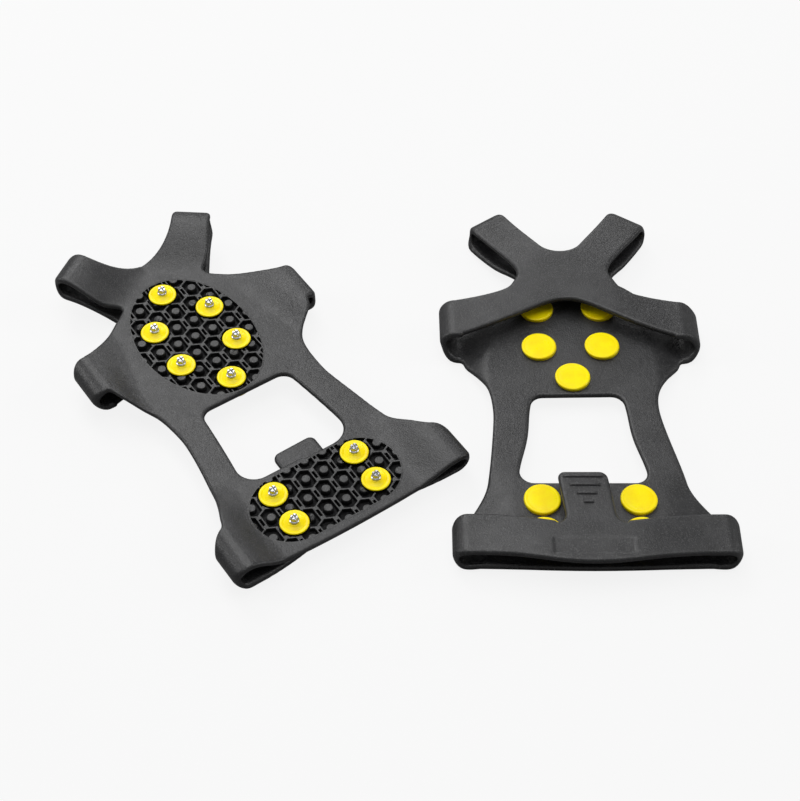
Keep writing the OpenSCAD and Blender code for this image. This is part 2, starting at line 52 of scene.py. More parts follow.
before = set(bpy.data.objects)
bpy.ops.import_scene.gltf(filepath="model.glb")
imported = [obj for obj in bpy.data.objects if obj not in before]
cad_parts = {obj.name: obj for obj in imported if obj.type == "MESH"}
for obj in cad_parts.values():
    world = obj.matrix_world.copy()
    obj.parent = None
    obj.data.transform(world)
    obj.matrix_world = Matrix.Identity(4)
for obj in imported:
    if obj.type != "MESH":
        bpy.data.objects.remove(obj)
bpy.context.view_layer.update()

MM = 0.001
CLEATS = ("upturned", "upright")
SIDES = ("left", "right")


def srgb(code):
    """Linear colour of an sRGB hex code."""
    parts = [int(code[i : i + 2], 16) / 255 for i in (1, 3, 5)]
    return [p / 12.92 if p <= 0.04045 else ((p + 0.055) / 1.055) ** 2.4 for p in parts]


def length(default, low, high, words):
    """A length in millimetres, or an angle in degrees, that the sidebar can change."""
    return FloatProperty(name=words, default=default, min=low, max=high, description=words)


def tint(code, words):
    """A colour that the sidebar can change, written as an sRGB hex code."""
    return FloatVectorProperty(
        name=words, default=srgb(code), size=3, min=0, max=1, subtype="COLOR", description=words
    )


class CleatSizes(bpy.types.PropertyGroup):
    """Sizes of one cleat in its own frame: x across the foot, y towards the toe, z towards the foot."""

    rubber_t: length(3.2, 2.8, 3.8, "Thickness of the rubber")
    edge_r: length(1.35, 0.6, 1.4, "Rounding of the rubber's edges")
    end_r: length(2.6, 0, 3, "Rounding of a loop's ends, seen from above")
    cell: length(0.62, 0.4, 1.2, "Grid of the rubber's surface")
    keep: length(0.32, 0.1, 1, "Share of the rubber's faces that is kept")
    toe_angle: length(34.5, 32, 37, "Angle of a toe strap")
    toe_cross_y: length(17.3, 15, 20, "Place where the toe straps would cross")
    toe_w: length(19.5, 17, 22, "Width of a toe strap")
    toe_lug_w: length(19, 15, 21, "Width of the sole's lug at a toe loop")
    toe_root: length(18, 16, 19.5, "Length from the crossing to where a toe strap bends down")
    vamp_h: length(13.75, 12.5, 17, "Height of the vamp's top above the tread face")
    vamp_front_y: length(43.5, 42, 46, "Front of the vamp between the toe straps")
    vamp_rear_y: length(11, 8, 13, "Rear edge of the vamp on the middle line")
    notch_x: length(23, 21, 25, "Sideways place of the notch behind a toe strap")
    side_y: length(0, -2, 1, "Place of a side loop's middle along the foot")
    sole_front_y: length(51.5, 48, 56, "Front edge of the sole between the toe straps")
    sole_notch_y: length(33, 31, 35, "Sole's notch behind a toe strap")
    waist_half: length(37.5, 36, 40, "Half width of the sole at the waist")
    opening_front_y: length(-41.5, -43, -40.5, "Front edge of the waist opening")
    opening_rear_y: length(-90.5, -91.5, -89, "Rear edge of the waist opening")
    opening_r: length(6, 4, 8, "Corner radius of the waist opening")
    heel_rear_y: length(-132.5, -137, -131, "Rear edge of the sole and of the heel strap")
    heel_rear_bow: length(1.2, 0, 3, "Bow of the sole's rear edge")
    heel_flare: length(4, 0, 6, "Flare of the sole in front of a heel loop")
    heel_w: length(21, 19.5, 22, "Width of the heel strap")
    heel_h: length(11.75, 10.5, 13, "Height of the heel strap's top above the tread face")
    tab_w: length(22, 18, 24, "Width of the pull tab")
    tab_l: length(28, 20, 29, "Length of the pull tab")
    tab_r: length(3.5, 2, 5, "Corner radius of the pull tab's tip")
    tab_fillet_r: length(5, 3, 7, "Fillet where the pull tab meets the strap")
    tab_bars: IntProperty(name="Grip bars", default=4, min=2, max=4, description="Number of grip bars")
    tab_bar_h: length(0.8, 0.5, 1.2, "Height of a grip bar")
    panel_w: length(35, 30, 42, "Width of the bare panel sunk into the heel strap")
    panel_l: length(8.6, 6, 10, "Length of that panel along the foot")
    panel_d: length(0.5, 0.2, 0.6, "Depth of that panel")
    ball_tread_w: length(54.4, 52, 58, "Width of the oval tread")
    ball_tread_l: length(79.8, 78, 84, "Length of the oval tread")
    heel_tread_w: length(73, 71, 76, "Width of the racetrack tread")
    heel_tread_l: length(37, 36, 38, "Length of the racetrack tread")
    heel_tread_rim: length(1.5, 1, 2, "Plain rim in front of the racetrack tread")
    tread_d: length(2.2, 1.4, 2.3, "Depth of the tread pockets")
    cell_w: length(9.4, 8.8, 10.4, "Distance across the foot between two pegs")
    cell_l: length(9.4, 8.8, 10.4, "Distance along the foot between two rows of pegs")
    rib_w: length(0.5, 0.4, 1.2, "Width of the ribs")
    slot_w: length(1.4, 0.8, 1.6, "Width of the slot between two pockets")
    peg_d: length(4.0, 3.4, 4.6, "Diameter of a peg's top")
    peg_foot_d: length(4.8, 4, 5.2, "Diameter of a peg's foot")
    peg_rise: length(0.6, 0, 1, "Height of a peg above the ribs")
    seat_gap: length(0.8, 0.5, 1, "Room round a washer")
    button_d: length(16.4, 15, 17, "Diameter of a button")
    button_t: length(2.2, 1.6, 3, "Thickness of a button's head")
    washer_d: length(13.2, 12, 14, "Diameter of a washer")
    washer_rise: length(1.6, 1, 2.4, "Height of a washer above the tread face")
    collar_d: length(4.4, 3.4, 4.8, "Diameter of a spike's collar")
    collar_t: length(1.1, 0.8, 2, "Thickness of a spike's collar")
    crown_d: length(3.5, 2.4, 3.8, "Diameter of a spike's crown")
    spike_reach: length(3.3, 3, 4.5, "Reach of a spike's tip below the washer")


# How the cleats lie: what a value gives, its range, and the value of the upturned and of the upright cleat
LAY = {
    "rock": ("Rock of the cleat from its vamp to its heel strap", 0, 3, 0.878, 0),
    "ball": ("Shift across, shift along and turn of the ball", -6, 6, (0, 0, 0.5), (0.5, 0.8, -1.0)),
    "vamp": ("Shift across, shift along and turn of the vamp", -6, 6, (-1.2, -0.8, 0.5), (-1.4, 0, -0.8)),
    "heel": ("Shift across, shift along and turn of the heel", -6, 6, (-1.4, 0.5, 0.5), (-0.3, -2.2, -2)),
    "strap": ("Shift across, shift along and turn of the strap", -6, 6, (-1.4, 1.3, -1.4), (-0.3, -2.2, -2)),
    "waist": ("Sideways bow of the waist", -4, 4, -1.6, -1.1),
    "front": ("Growth of the sole's front edge", 0, 4, 2.5, 0),
    "toe_turn_left": ("Turn of the left toe loop away from the middle line", -4, 4, 2.6, 0),
    "toe_turn_right": ("Turn of the right toe loop away from the middle line", -4, 4, 0, 0),
    "lug_turn_left": ("Turn of the left toe lug against its strap", -6, 6, 0, 3.6),
    "lug_turn_right": ("Turn of the right toe lug against its strap", -6, 6, 0, 0),
    "side_w": ("Width of a side loop", 20, 26, 24, 22.6),
    "side_y_left": ("Shift of the left side loop along the foot", -4, 2, 1.6, 0.8),
    "side_y_right": ("Shift of the right side loop along the foot", -4, 2, 0, -1.6),
    "side_lug": ("How far a side lug reaches behind its strap", 0, 6, 0, 4.5),
    "toe_left": ("Reach, bend and height at the left toe", 0, 80, (63.5, 9.5, 5), (65.5, 3.8, 10.5)),
    "toe_right": ("Reach, bend and height at the right toe", 0, 80, (61.5, 11, 3.5), (65.0, 3.8, 10.5)),
    "side_left": ("Reach, bend and height at the left side", 0, 80, (62.0, 4, 7), (61.5, 4.8, 13)),
    "side_right": ("Reach, bend and height at the right side", 0, 80, (59.7, 7.5, 7), (61.5, 4.8, 12)),
    "heel_left": ("Reach, bend and height at the left heel", 0, 80, (64.4, 5, 9), (61.5, 4.6, 9.6)),
    "heel_right": ("Reach, bend and height at the right heel", 0, 80, (58.9, 7.5, 7.5), (63.8, 4.6, 9.2)),
    "notch_left": ("Shift across and along of the sole's left notch", -6, 6, (2, 2), (0, 0)),
    "notch_right": ("Shift across and along of the sole's right notch", -6, 6, (-2.6, 2.4), (0, 0)),
    "opening_left": (
        "Half width at the front and the rear, rear edge and rear corner of the opening's left side",
        -100,
        40,
        (23.4, 26.6, -90.2, 10.5),
        (20.8, 29.8, -89.8, 6),
    ),
    "opening_right": (
        "Half width at the front and the rear, rear edge and rear corner of the opening's right side",
        -100,
        40,
        (23.6, 28, -89.2, 9),
        (22.7, 27.2, -89.8, 6),
    ),
    "opening_hollow": ("Bow of the opening's sides towards the middle line", 0, 3, 0, 1.2),
    "bow": ("Sag of the heel strap towards the toe", -8, 12, 8, -6.2),
    "tilt": ("Fall of the heel strap's front edge and rise of its rear edge", 0, 4, 0, 0.2),
    "tab_x": ("Sideways shift of the pull tab", -6, 6, -4, -1),
    "tab_skew": ("Sideways shift of the pull tab's tip", -6, 6, 0, -2.4),
    "tab_drop": ("Droop of the pull tab's tip", 0, 5, 0, 0.4),
    "rear_drop": ("Droop of the heel's rear edge", 0, 5, 0, 4),
}


def lay_of(cleat):
    """Properties of how a cleat lies, in millimetres and degrees."""
    made = {}
    for name, (words, low, high, *values) in LAY.items():
        value = values[CLEATS.index(cleat)]
        if isinstance(value, tuple):
            options = {"size": len(value), "min": low, "max": high}
            made[name] = FloatVectorProperty(name=words, default=value, description=words, **options)
        else:
            made[name] = length(value, low, high, words)
    return made


class UpturnedLay(bpy.types.PropertyGroup):
    """How the upturned cleat lies, with its lugs lifted by the loops under them."""

    x: length(-84.4, -140, -80, "Place of the ball's middle across the floor")
    y: length(28.65, 15, 55, "Place of the ball's middle along the floor")
    rise: length(13.693, 12, 16, "Height of the ball's tread face above the floor")
    turn: length(34.7, 30, 40, "Turn on the floor")
    __annotations__.update(lay_of("upturned"))


class UprightLay(bpy.types.PropertyGroup):
    """How the upright cleat stands, with its lugs drooping round the studs."""

    x: length(92.55, 88, 140, "Place of the ball's middle across the floor")
    y: length(37.65, 0, 55, "Place of the ball's middle along the floor")
    rise: length(5.2, 4, 7, "Height of the ball's tread face above the floor")
    turn: length(2, 0, 4, "Turn on the floor")
    __annotations__.update(lay_of("upright"))


class CleatColours(bpy.types.PropertyGroup):
    """Colours of the materials and of the stage."""

    rubber: tint("#161617", "Charcoal rubber")
    # Colour of the dust, and also of the painted glints: pale specks that stand in for the shine of the
    # rubber's grain
    rubber_dust_and_glint: tint("#3c3c3d", "Rubber where the moulding is dusty")
    # Darker than the moulded rubber as painted shade, for the honeycomb that light hardly reaches
    tread: tint("#0b0b0c", "Rubber of the treads")
    yellow: tint("#fce800", "Yellow plastic")
    # Mixed into the yellow in soft random patches
    yellow_deep: tint("#f4c800", "Yellow plastic where it is thicker")
    steel: tint("#b0b1b4", "Bright steel")
    floor: tint("#f8f8f8", "Studio floor and backdrop")
    floor_bounce: tint("#8a8a8a", "Light that the floor throws back under the cleats")


# Curves and distances


def ease(t):
    """Smooth step from 0 to 1."""
    t = np.clip(t, 0, 1)
    return t * t * (3 - 2 * t)


def smooth(before, points, after, steps=6):
    """Points of a smooth curve through points, coming from before and going on to after."""
    p = np.array([before, *points, after], float)
    u = (np.arange(steps) / steps)[:, None]
    curve = []
    for a, b, c, d in zip(p, p[1:], p[2:], p[3:]):
        bend = (2 * a - 5 * b + 4 * c - d) * u**2 + (3 * b - 3 * c + d - a) * u**3
        curve.append((2 * b + (c - a) * u + bend) / 2)
    return np.vstack([*curve, p[-2:-1]])


def arc(mid, r, start, end, steps=8):
    """Points of an arc, with its angles in degrees."""
    t = np.radians(np.linspace(start, end, steps + 1))
    return np.column_stack([mid[0] + r * np.cos(t), mid[1] + r * np.sin(t)])


def whole(*half):
    """Closed outline from the stretches of its right half, in order from front to rear."""
    right = np.vstack(half)
    left = right[::-1] * [-1, 1]
    return np.vstack([right, left[left[:, 0] < -1e-6]])


def outline_distance(x, y, outline):
    """Signed distance of points to a closed outline, negative inside."""
    best = np.full(x.shape, np.inf)
    inside = np.zeros(x.shape, bool)
    for (ax, ay), (bx, by) in zip(outline, np.roll(outline, -1, 0)):
        ex, ey = bx - ax, by - ay
        t = np.clip(((x - ax) * ex + (y - ay) * ey) / max(ex * ex + ey * ey, 1e-12), 0, 1)
        best = np.minimum(best, (x - ax - t * ex) ** 2 + (y - ay - t * ey) ** 2)
        if ey:
            inside ^= ((ay > y) != (by > y)) & (x < ax + (y - ay) * ex / ey)
    return np.where(inside, -1, 1) * np.sqrt(best)


def rounded(a, b, r):
    """Overlap of two distance fields, with its edge rounded."""
    a, b = a + r, b + r
    return np.minimum(np.maximum(a, b), 0) + np.hypot(np.maximum(a, 0), np.maximum(b, 0)) - r


# Shape of the rubber


class Loop:
    """Bend that joins a lug of the sole to the strap over it."""

    # How far the bend's shape and its piece run back into the lug and the strap
    leg, overlap = 1.6, 0.5

    def __init__(self, sizes, half_t):
        self.reach, self.bend, self.height = sizes
        self.fold = self.reach - (self.bend + self.height) / 2
        self.start = self.fold - self.overlap
        self.low, self.high = half_t - self.bend, self.height - half_t

    def distance(self, out, z):
        """Distance to the middle line of the bend, for points beyond or short of the fold."""
        mid, r = (self.low + self.high) / 2, (self.high - self.low) / 2
        legs = np.minimum(np.abs(z - self.low), np.abs(z - self.high))
        short = np.hypot(np.minimum(out + self.leg, 0), legs)
        return np.where(out > 0, np.abs(np.hypot(out, z - mid) - r), short)

    def share(self, z):
        """How far up the bend a height is, from 0 at the lug to 1 at the strap."""
        return np.clip((z - self.low) / (self.high - self.low), 0, 1)


class Half:
    """Outlines and heights of one side of a cleat's rubber, drawn to the right of its middle line."""

    # Where the lugs start to bend: along a toe strap, and across the foot at the sides and at the heel
    toe_bend, side_bend, heel_bend = 24, 31, 33
    # Where the rear edge of the heel starts to droop, along the foot
    rear_bend = -119
    # Where the vamp and the heel strap start to fall to their loops, across the foot
    fall = 20

    def __init__(self, s, lay, side):
        self.s, self.lay, self.half_t = s, lay, s.rubber_t / 2
        self.toe = Loop(getattr(lay, "toe_" + side), self.half_t)
        self.side = Loop(getattr(lay, "side_" + side), self.half_t)
        self.heel = Loop(getattr(lay, "heel_" + side), self.half_t)
        self.opening_sizes = getattr(lay, "opening_" + side)
        self.toe_angle = s.toe_angle + getattr(lay, "toe_turn_" + side)
        self.lug_swing = math.tan(math.radians(getattr(lay, "lug_turn_" + side)))
        self.notch = getattr(lay, "notch_" + side)
        side_y = s.side_y + getattr(lay, "side_y_" + side)
        self.side_front = side_y + lay.side_w / 2
        self.side_rear = side_y - lay.side_w / 2
        self.heel_front = s.heel_rear_y + s.heel_w
        self.heel_mid = s.heel_rear_y + s.heel_w / 2
        self.waist_front = s.opening_front_y - s.opening_r
        self.waist_rear = s.opening_rear_y + s.opening_r
        self.tab_tip = self.heel_front + lay.bow + s.tab_l

    def on_toe(self, along, across):
        """Point on the toe strap, along it from the crossing and across it."""
        a = math.radians(self.toe_angle)
        x = along * math.sin(a) + across * math.cos(a)
        return [x, self.s.toe_cross_y + along * math.cos(a) - across * math.sin(a)]

    def toe_place(self, x, y):
        """Place of points along and across the toe strap."""
        a = math.radians(self.toe_angle)
        x, y = np.abs(x), y - self.s.toe_cross_y
        return x * math.sin(a) + y * math.cos(a), x * math.cos(a) - y * math.sin(a)

    def on_lug(self, along, across):
        """Point on the lug under the toe strap."""
        return self.on_toe(along, across + along * self.lug_swing)

    def valley(self, front_y, end, half_w):
        """Front edge from the middle line to the inner edge of a toe strap or lug, and on to its end."""
        a = math.radians(self.toe_angle)
        corner_y = self.s.toe_cross_y + half_w / math.sin(a)
        r = (front_y - corner_y) * math.sin(a) / (1 - math.sin(a))
        return np.vstack([arc([0, front_y + r], r, -90, -self.toe_angle, 9), [end]])

    def sole(self):
        """Outline of the sole, up to the folds of its lugs."""
        s, toe, rear = self.s, self.toe.fold, self.side_rear - self.lay.side_lug
        lug, half_w, fold = s.toe_lug_w / 2, s.waist_half, self.heel.fold
        notch = np.array([s.notch_x, s.sole_notch_y]) + self.notch
        flare = self.heel_front + s.heel_flare
        across = np.linspace(fold, 0, 8)
        bow = s.heel_rear_bow * (1 + np.cos(np.pi * across / fold)) / 2
        return whole(
            self.valley(s.sole_front_y + self.lay.front, self.on_lug(toe, -lug), lug),
            smooth(
                self.on_lug(toe + 9, lug),
                [
                    self.on_lug(toe, lug),
                    self.on_lug(toe - 18, lug + 0.6),
                    notch,
                    notch + [7, -7],
                    [self.side.fold - 8, self.side_front + 3.5],
                    [self.side.fold, self.side_front],
                ],
                [self.side.reach, self.side_front],
            ),
            smooth(
                [self.side.reach, rear],
                [
                    [self.side.fold, rear],
                    [self.side.fold - 3, rear - 5],
                    [half_w + 6.7, rear - 13.2],
                    [half_w + 2.3, rear - 21.7],
                    [half_w + 0.8, self.waist_front],
                    [half_w + 1.7, self.waist_front - 12],
                    [half_w + 6, self.waist_rear],
                    [half_w + 8.3, self.waist_rear - 9],
                    [0.45 * (half_w + 8.3) + 0.55 * fold, flare + 5.5],
                    [fold, flare],
                ],
                [self.heel.reach, self.heel_front],
            ),
            np.column_stack([across, s.heel_rear_y - bow]),
        )

    def opening(self):
        """Outline of the waist opening."""
        s, (front_half, rear_half, rear_y, rear_r) = self.s, self.opening_sizes
        front = [front_half - s.opening_r, self.waist_front]
        rear = [rear_half - rear_r, rear_y + rear_r]
        across, along = rear[0] - front[0], front[1] - rear[1]
        growth = math.asin((rear_r - s.opening_r) / math.hypot(across, along))
        lean = math.degrees(math.atan2(across, along) + growth)
        front, rear = arc(front, s.opening_r, 90, lean), arc(rear, rear_r, lean, -90)
        u = np.linspace(0, 1, 13)[1:-1, None]
        hollow = self.lay.opening_hollow * np.sin(np.pi * u) ** 2 * [1, 0]
        side = front[-1] + (rear[0] - front[-1]) * u - hollow
        return whole([[0, s.opening_front_y]], front, side, rear, [[0, rear_y]])

    def vamp(self):
        """Outline of the crossed straps over the toes, up to the folds of their loops."""
        s, half_w, toe = self.s, self.s.toe_w / 2, self.toe.fold
        return whole(
            self.valley(s.vamp_front_y, self.on_toe(toe, -half_w), half_w),
            smooth(
                self.on_toe(toe + 9, half_w),
                [
                    self.on_toe(toe, half_w),
                    self.on_toe(s.toe_root + 9, half_w),
                    [s.notch_x + 1.5, s.toe_cross_y + 5.5],
                    [s.notch_x + 9, self.side_front + 5],
                    [self.side.fold, self.side_front],
                ],
                [self.side.reach, self.side_front],
            ),
            smooth(
                [self.side.reach, self.side_rear],
                [
                    [self.side.fold, self.side_rear],
                    [self.side.fold - 22, self.side_rear + 9],
                    [9, s.vamp_rear_y - 2],
                    [0, s.vamp_rear_y],
                ],
                [-9, s.vamp_rear_y - 2],
            ),
        )

    def sag(self, x):
        """Sag of the heel strap towards the toe at a distance from the middle line."""
        return self.lay.bow * (1 + np.cos(np.pi * np.clip(x / self.heel.fold, -1, 1))) / 2

    def strap(self):
        """Outline of the heel strap with its pull tab, up to the folds of its loops."""
        s, root = self.s, self.heel_front + self.lay.bow
        flare_x = s.tab_w / 2 + s.tab_fillet_r
        x = np.linspace(flare_x, self.heel.fold, 10)
        back = np.linspace(self.heel.fold, 0, 14)
        return whole(
            [[0, self.tab_tip]],
            arc([s.tab_w / 2 - s.tab_r, self.tab_tip - s.tab_r], s.tab_r, 90, 0),
            arc([flare_x, root + s.tab_fillet_r], s.tab_fillet_r, 180, 260),
            np.column_stack([x, self.heel_front + self.sag(x)]),
            np.column_stack([back, s.heel_rear_y + self.sag(back)]),
        )

    def sole_mid(self, x, y):
        """Height of the middle of the sole: level, with its lugs bent to the tread side."""
        x, along = np.abs(x), self.toe_place(x, y)[0]
        toe = self.toe.bend * ease((along - self.toe_bend) / (self.toe.fold - self.toe_bend))
        root = self.side_bend + 8 * ease((20 - y) / 45)
        side = self.side.bend * ease((x - root) / (self.side.fold - root))
        heel = self.heel.bend * ease((x - self.heel_bend) / (self.heel.fold - self.heel_bend))
        toe, heel = toe * ease((y - 20) / 14), heel * ease((-78 - y) / 24)
        side = side * ease((y + 75) / 22) * ease((34 - y) / 12)
        rear = self.lay.rear_drop * ease((self.rear_bend - y) / 13)
        return self.half_t - toe - side - np.maximum(heel, rear)

    def vamp_mid(self, x, y):
        """Height of the middle of the vamp: level, falling towards its loops."""
        s, x, along = self.s, np.abs(x), self.toe_place(x, y)[0]
        toe = (s.vamp_h - self.toe.height) * ease((along - s.toe_root) / (self.toe.fold - s.toe_root))
        side = (s.vamp_h - self.side.height) * ease((x - self.fall) / (self.side.fold - self.fall))
        return s.vamp_h - self.half_t - toe * ease((y - 20) / 12) - side * ease((32 - y) / 12)

    def strap_mid(self, x, y):
        """Height of the middle of the heel strap: level, falling to its loops and at the tab's tip."""
        s, x = self.s, np.abs(x)
        ends = (s.heel_h - self.heel.height) * ease((x - self.fall) / (self.heel.fold - self.fall))
        across = np.clip((y - self.heel_mid - self.sag(x)) * 2 / s.heel_w, -1, 1)
        tilt = self.lay.tilt * across * ease((self.heel.fold - x) / 24)
        tab = np.clip((y - self.heel_front - self.lay.bow) / s.tab_l, 0, 1) ** 1.3 * ease((20 - x) / 6)
        return s.heel_h - self.half_t - ends - tilt - self.lay.tab_drop * tab

    def ball_tread(self):
        """Outline of the oval tread."""
        t = np.linspace(0, 2 * np.pi, 96, endpoint=False)
        return np.column_stack([self.s.ball_tread_w / 2 * np.cos(t), self.s.ball_tread_l / 2 * np.sin(t)])

    def heel_tread_y(self):
        """Middle of the racetrack tread along the foot."""
        return self.s.opening_rear_y - self.s.heel_tread_rim - self.s.heel_tread_l / 2

    def heel_tread(self):
        """Outline of the racetrack tread."""
        r = self.s.heel_tread_l / 2
        x, y = self.s.heel_tread_w / 2 - r, self.heel_tread_y()
        return np.vstack([arc([x, y], r, -90, 90, 28), arc([-x, y], r, 90, 270, 28)])

    def fields(self, x, y, z):
        """Signed distance of grid points to the rubber, and to the beds of its treads."""
        s, half_t, r = self.s, self.half_t, self.s.edge_r
        x, y = (g.astype(np.float32) for g in np.meshgrid(x, y, indexing="ij"))
        z = z[None, None, :].astype(np.float32)
        along, across = (g[:, :, None] for g in self.toe_place(x, y))
        sole_mid, strap_mid = self.sole_mid(x, y)[:, :, None], self.strap_mid(x, y)[:, :, None]

        def edge_of(outline):
            return outline_distance(x, y, outline)[:, :, None].astype(np.float32)

        def plate(edge, mid):
            return rounded(edge, np.abs(z - mid) - half_t, r)

        body = plate(np.maximum(edge_of(self.sole()), -edge_of(self.opening())), sole_mid)
        body = np.minimum(body, plate(edge_of(self.vamp()), self.vamp_mid(x, y)[:, :, None]))
        body = np.minimum(body, plate(edge_of(self.strap()), strap_mid))
        toe_half = (s.toe_lug_w + (s.toe_w - s.toe_lug_w) * self.toe.share(z)) / 2
        toe_mid = along * self.lug_swing * (1 - self.toe.share(z))
        out, place = x[:, :, None], y[:, :, None]
        side_rear = self.side_rear - self.lay.side_lug * (1 - self.side.share(z))
        flare = s.heel_flare * np.clip((self.heel.reach - out) / (self.heel.reach - self.heel.fold), 0, 1)
        heel_front = self.heel_front + flare * (1 - self.heel.share(z))
        for bend, out, edge in (
            (self.toe, along, np.abs(across - toe_mid) - toe_half),
            (self.side, out, np.maximum(place - self.side_front, side_rear - place)),
            (self.heel, out, np.maximum(place - heel_front, s.heel_rear_y - place)),
        ):
            beyond = np.clip((out - bend.fold) / (bend.reach - bend.fold), 0, 1)
            edge = edge + s.end_r * beyond**3
            body = np.minimum(body, rounded(bend.distance(out - bend.fold, z) - half_t, edge, r))
        # Bare panel sunk into the heel strap
        from_mid = np.abs(y - self.heel_mid - self.lay.bow + 2)
        panel_edge = np.maximum(x - s.panel_w / 2, from_mid - s.panel_l / 2)
        from_top = z - strap_mid - half_t
        panel = np.maximum(panel_edge[:, :, None], np.maximum(-from_top - s.panel_d, from_top - 1))
        bed_edge = np.minimum(edge_of(self.ball_tread()), edge_of(self.heel_tread()))
        beds = np.maximum(bed_edge - 0.4, z - sole_mid + half_t - s.tread_d - 0.1)
        return np.maximum(body, -panel), beds


class Cleat:
    """One cleat of the pair: its halves, its studs and where it lies."""

    # Half length of the lying strap's middle, which is pulled as one piece
    strap_half = 20
    # Places along the foot: in front of the pull tab, of the heel loops and of the side loops
    tab_zone, heel_zone, side_zone = -70, -100, 25

    def __init__(self, name):
        scene = bpy.context.scene
        self.name, self.s, self.lay = name, scene.cleat_sizes, getattr(scene, "cleat_" + name)
        self.lying = name == "upturned"
        self.left, self.right = (Half(self.s, self.lay, side) for side in SIDES)
        self.matrix = Matrix.Scale(MM, 4) @ self.stand()

    def stand(self):
        """Where the cleat lies: upturned on its vamp and heel strap, or upright on its studs."""
        lay = self.lay
        turn = Matrix.Rotation(math.radians(lay.turn), 4, "Z")
        turn = turn @ Matrix.Rotation(math.radians(lay.rock), 4, "X")
        if self.lying:
            turn = turn @ Matrix.Rotation(math.pi, 4, "Y")
        return Matrix.Translation((lay.x, lay.y, lay.rise)) @ turn

    def both(self, function, x, y):
        """A height of each half, at points on either side."""
        return np.where(x < 0, getattr(self.left, function)(x, y), getattr(self.right, function)(x, y))

    def settled(self, points):
        """Points where they lie: ball, vamp, heel and strap shifted and turned, and the waist bowed."""
        lay, heel_y = self.lay, self.right.heel_tread_y()
        x, y, z = np.array(points, float).T
        rear, over = ease((self.right.waist_front + 12 - y) / 60), ease((z - 1) / 10)
        parts = (
            ((1 - rear) * (1 - over), 0, lay.ball),
            ((1 - rear) * over, 0, lay.vamp),
            (rear * (1 - over), heel_y, lay.heel),
            (rear * over, heel_y, lay.strap),
        )
        dx, dy = lay.waist * ease(1 - np.abs(y - self.right.waist_front + 10) / 60), 0
        for share, middle, (across, along, turn) in parts:
            turn = math.radians(turn)
            dx = dx + share * (across - (y - middle) * turn)
            dy = dy + share * (along + x * turn)
        local = np.column_stack([x + dx, y + dy, z])
        return local @ np.array(self.matrix.to_3x3()).T + np.array(self.matrix.translation)

    def strap_side(self, x, y):
        """Which places are on a side of the lying heel strap, which goes into the piece of its loop."""
        return (np.abs(x) > self.strap_half) & (y < self.heel_zone) & self.lying

    def tab_shifted(self, points):
        """Points of the heel strap with its middle shifted sideways."""
        share = ease((40 - np.abs(points[:, 0])) / 26)
        tip = np.clip((points[:, 1] - self.right.heel_front - self.lay.bow) / self.s.tab_l, 0, 1)
        return points + np.outer(share * (self.lay.tab_x + self.lay.tab_skew * tip), [1, 0, 0])

    def studs(self, pad):
        """Number and place of each stud of a pad, from the CAD buttons."""
        back = self.matrix.inverted()
        names = sorted(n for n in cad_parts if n.startswith(f"{self.name}_{pad}_button_"))
        return [(n.rsplit("_", 1)[1], back @ (sum(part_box(n), Vector()) / 2)) for n in names]


def surface_nets(field, origin, cell):
    """Points and quads where a field crosses zero: one point in each grid cell that the surface passes."""
    shape = np.array(field.shape) - 1
    ids, spots, quads = [], [], []
    for axis in range(3):
        low = field[tuple(slice(0, -1) if i == axis else slice(None) for i in range(3))]
        high = field[tuple(slice(1, None) if i == axis else slice(None) for i in range(3))]
        crossed = (low < 0) != (high < 0)
        edge = np.argwhere(crossed)
        a, b = low[crossed], high[crossed]
        spot = edge.astype(float)
        spot[:, axis] += a / (a - b)
        first, second = [i for i in range(3) if i != axis]
        corners = []
        for da, db in ((1, 1), (0, 1), (0, 0), (1, 0)):
            at = edge.copy()
            at[:, first] -= da
            at[:, second] -= db
            corners.append(np.ravel_multi_index(at.T, shape))
        ids += corners
        spots += [spot] * 4
        quad = np.column_stack(corners)
        outward = (a < 0) != (axis == 1)
        quads.append(np.where(outward[:, None], quad, quad[:, ::-1]))
    ids, spots = np.concatenate(ids), np.vstack(spots)
    used, index = np.unique(ids, return_inverse=True)
    count = np.bincount(index)
    points = np.column_stack([np.bincount(index, spots[:, i]) / count for i in range(3)])
    return origin + points * cell, np.searchsorted(used, np.vstack(quads))


def field_slope(field, spots):
    """Unit slope of a field at points given in grid steps."""
    base = np.clip(np.floor(spots).astype(int), 0, np.array(field.shape) - 2)
    part = spots - base
    slope = np.zeros(spots.shape)
    for axis, grid in enumerate(np.gradient(field)):
        for corner in np.ndindex(2, 2, 2):
            share = np.prod(np.where(corner, part, 1 - part), axis=1)
            slope[:, axis] += share * grid[tuple((base + corner).T)]
    return slope / np.linalg.norm(slope, axis=1, keepdims=True)


# Meshes


def add_object(name, mesh, material):
    """Links a new object with that mesh and material."""
    obj = bpy.data.objects.new(name, mesh)
    bpy.context.scene.collection.objects.link(obj)
    mesh.materials.append(material)
    return obj


def mesh_of(name, points, faces, smooth_angle=None):
    """Mesh from arrays, shaded smooth but for edges sharper than an angle in degrees."""
    mesh = bpy.data.meshes.new(name)
    mesh.from_pydata([tuple(p) for p in points], [], [tuple(f) for f in faces])
    mesh.validate()
    mesh.polygons.foreach_set("use_smooth", [True] * len(mesh.polygons))
    if smooth_angle:
        mesh.set_sharp_from_angle(angle=math.radians(smooth_angle))
    return mesh


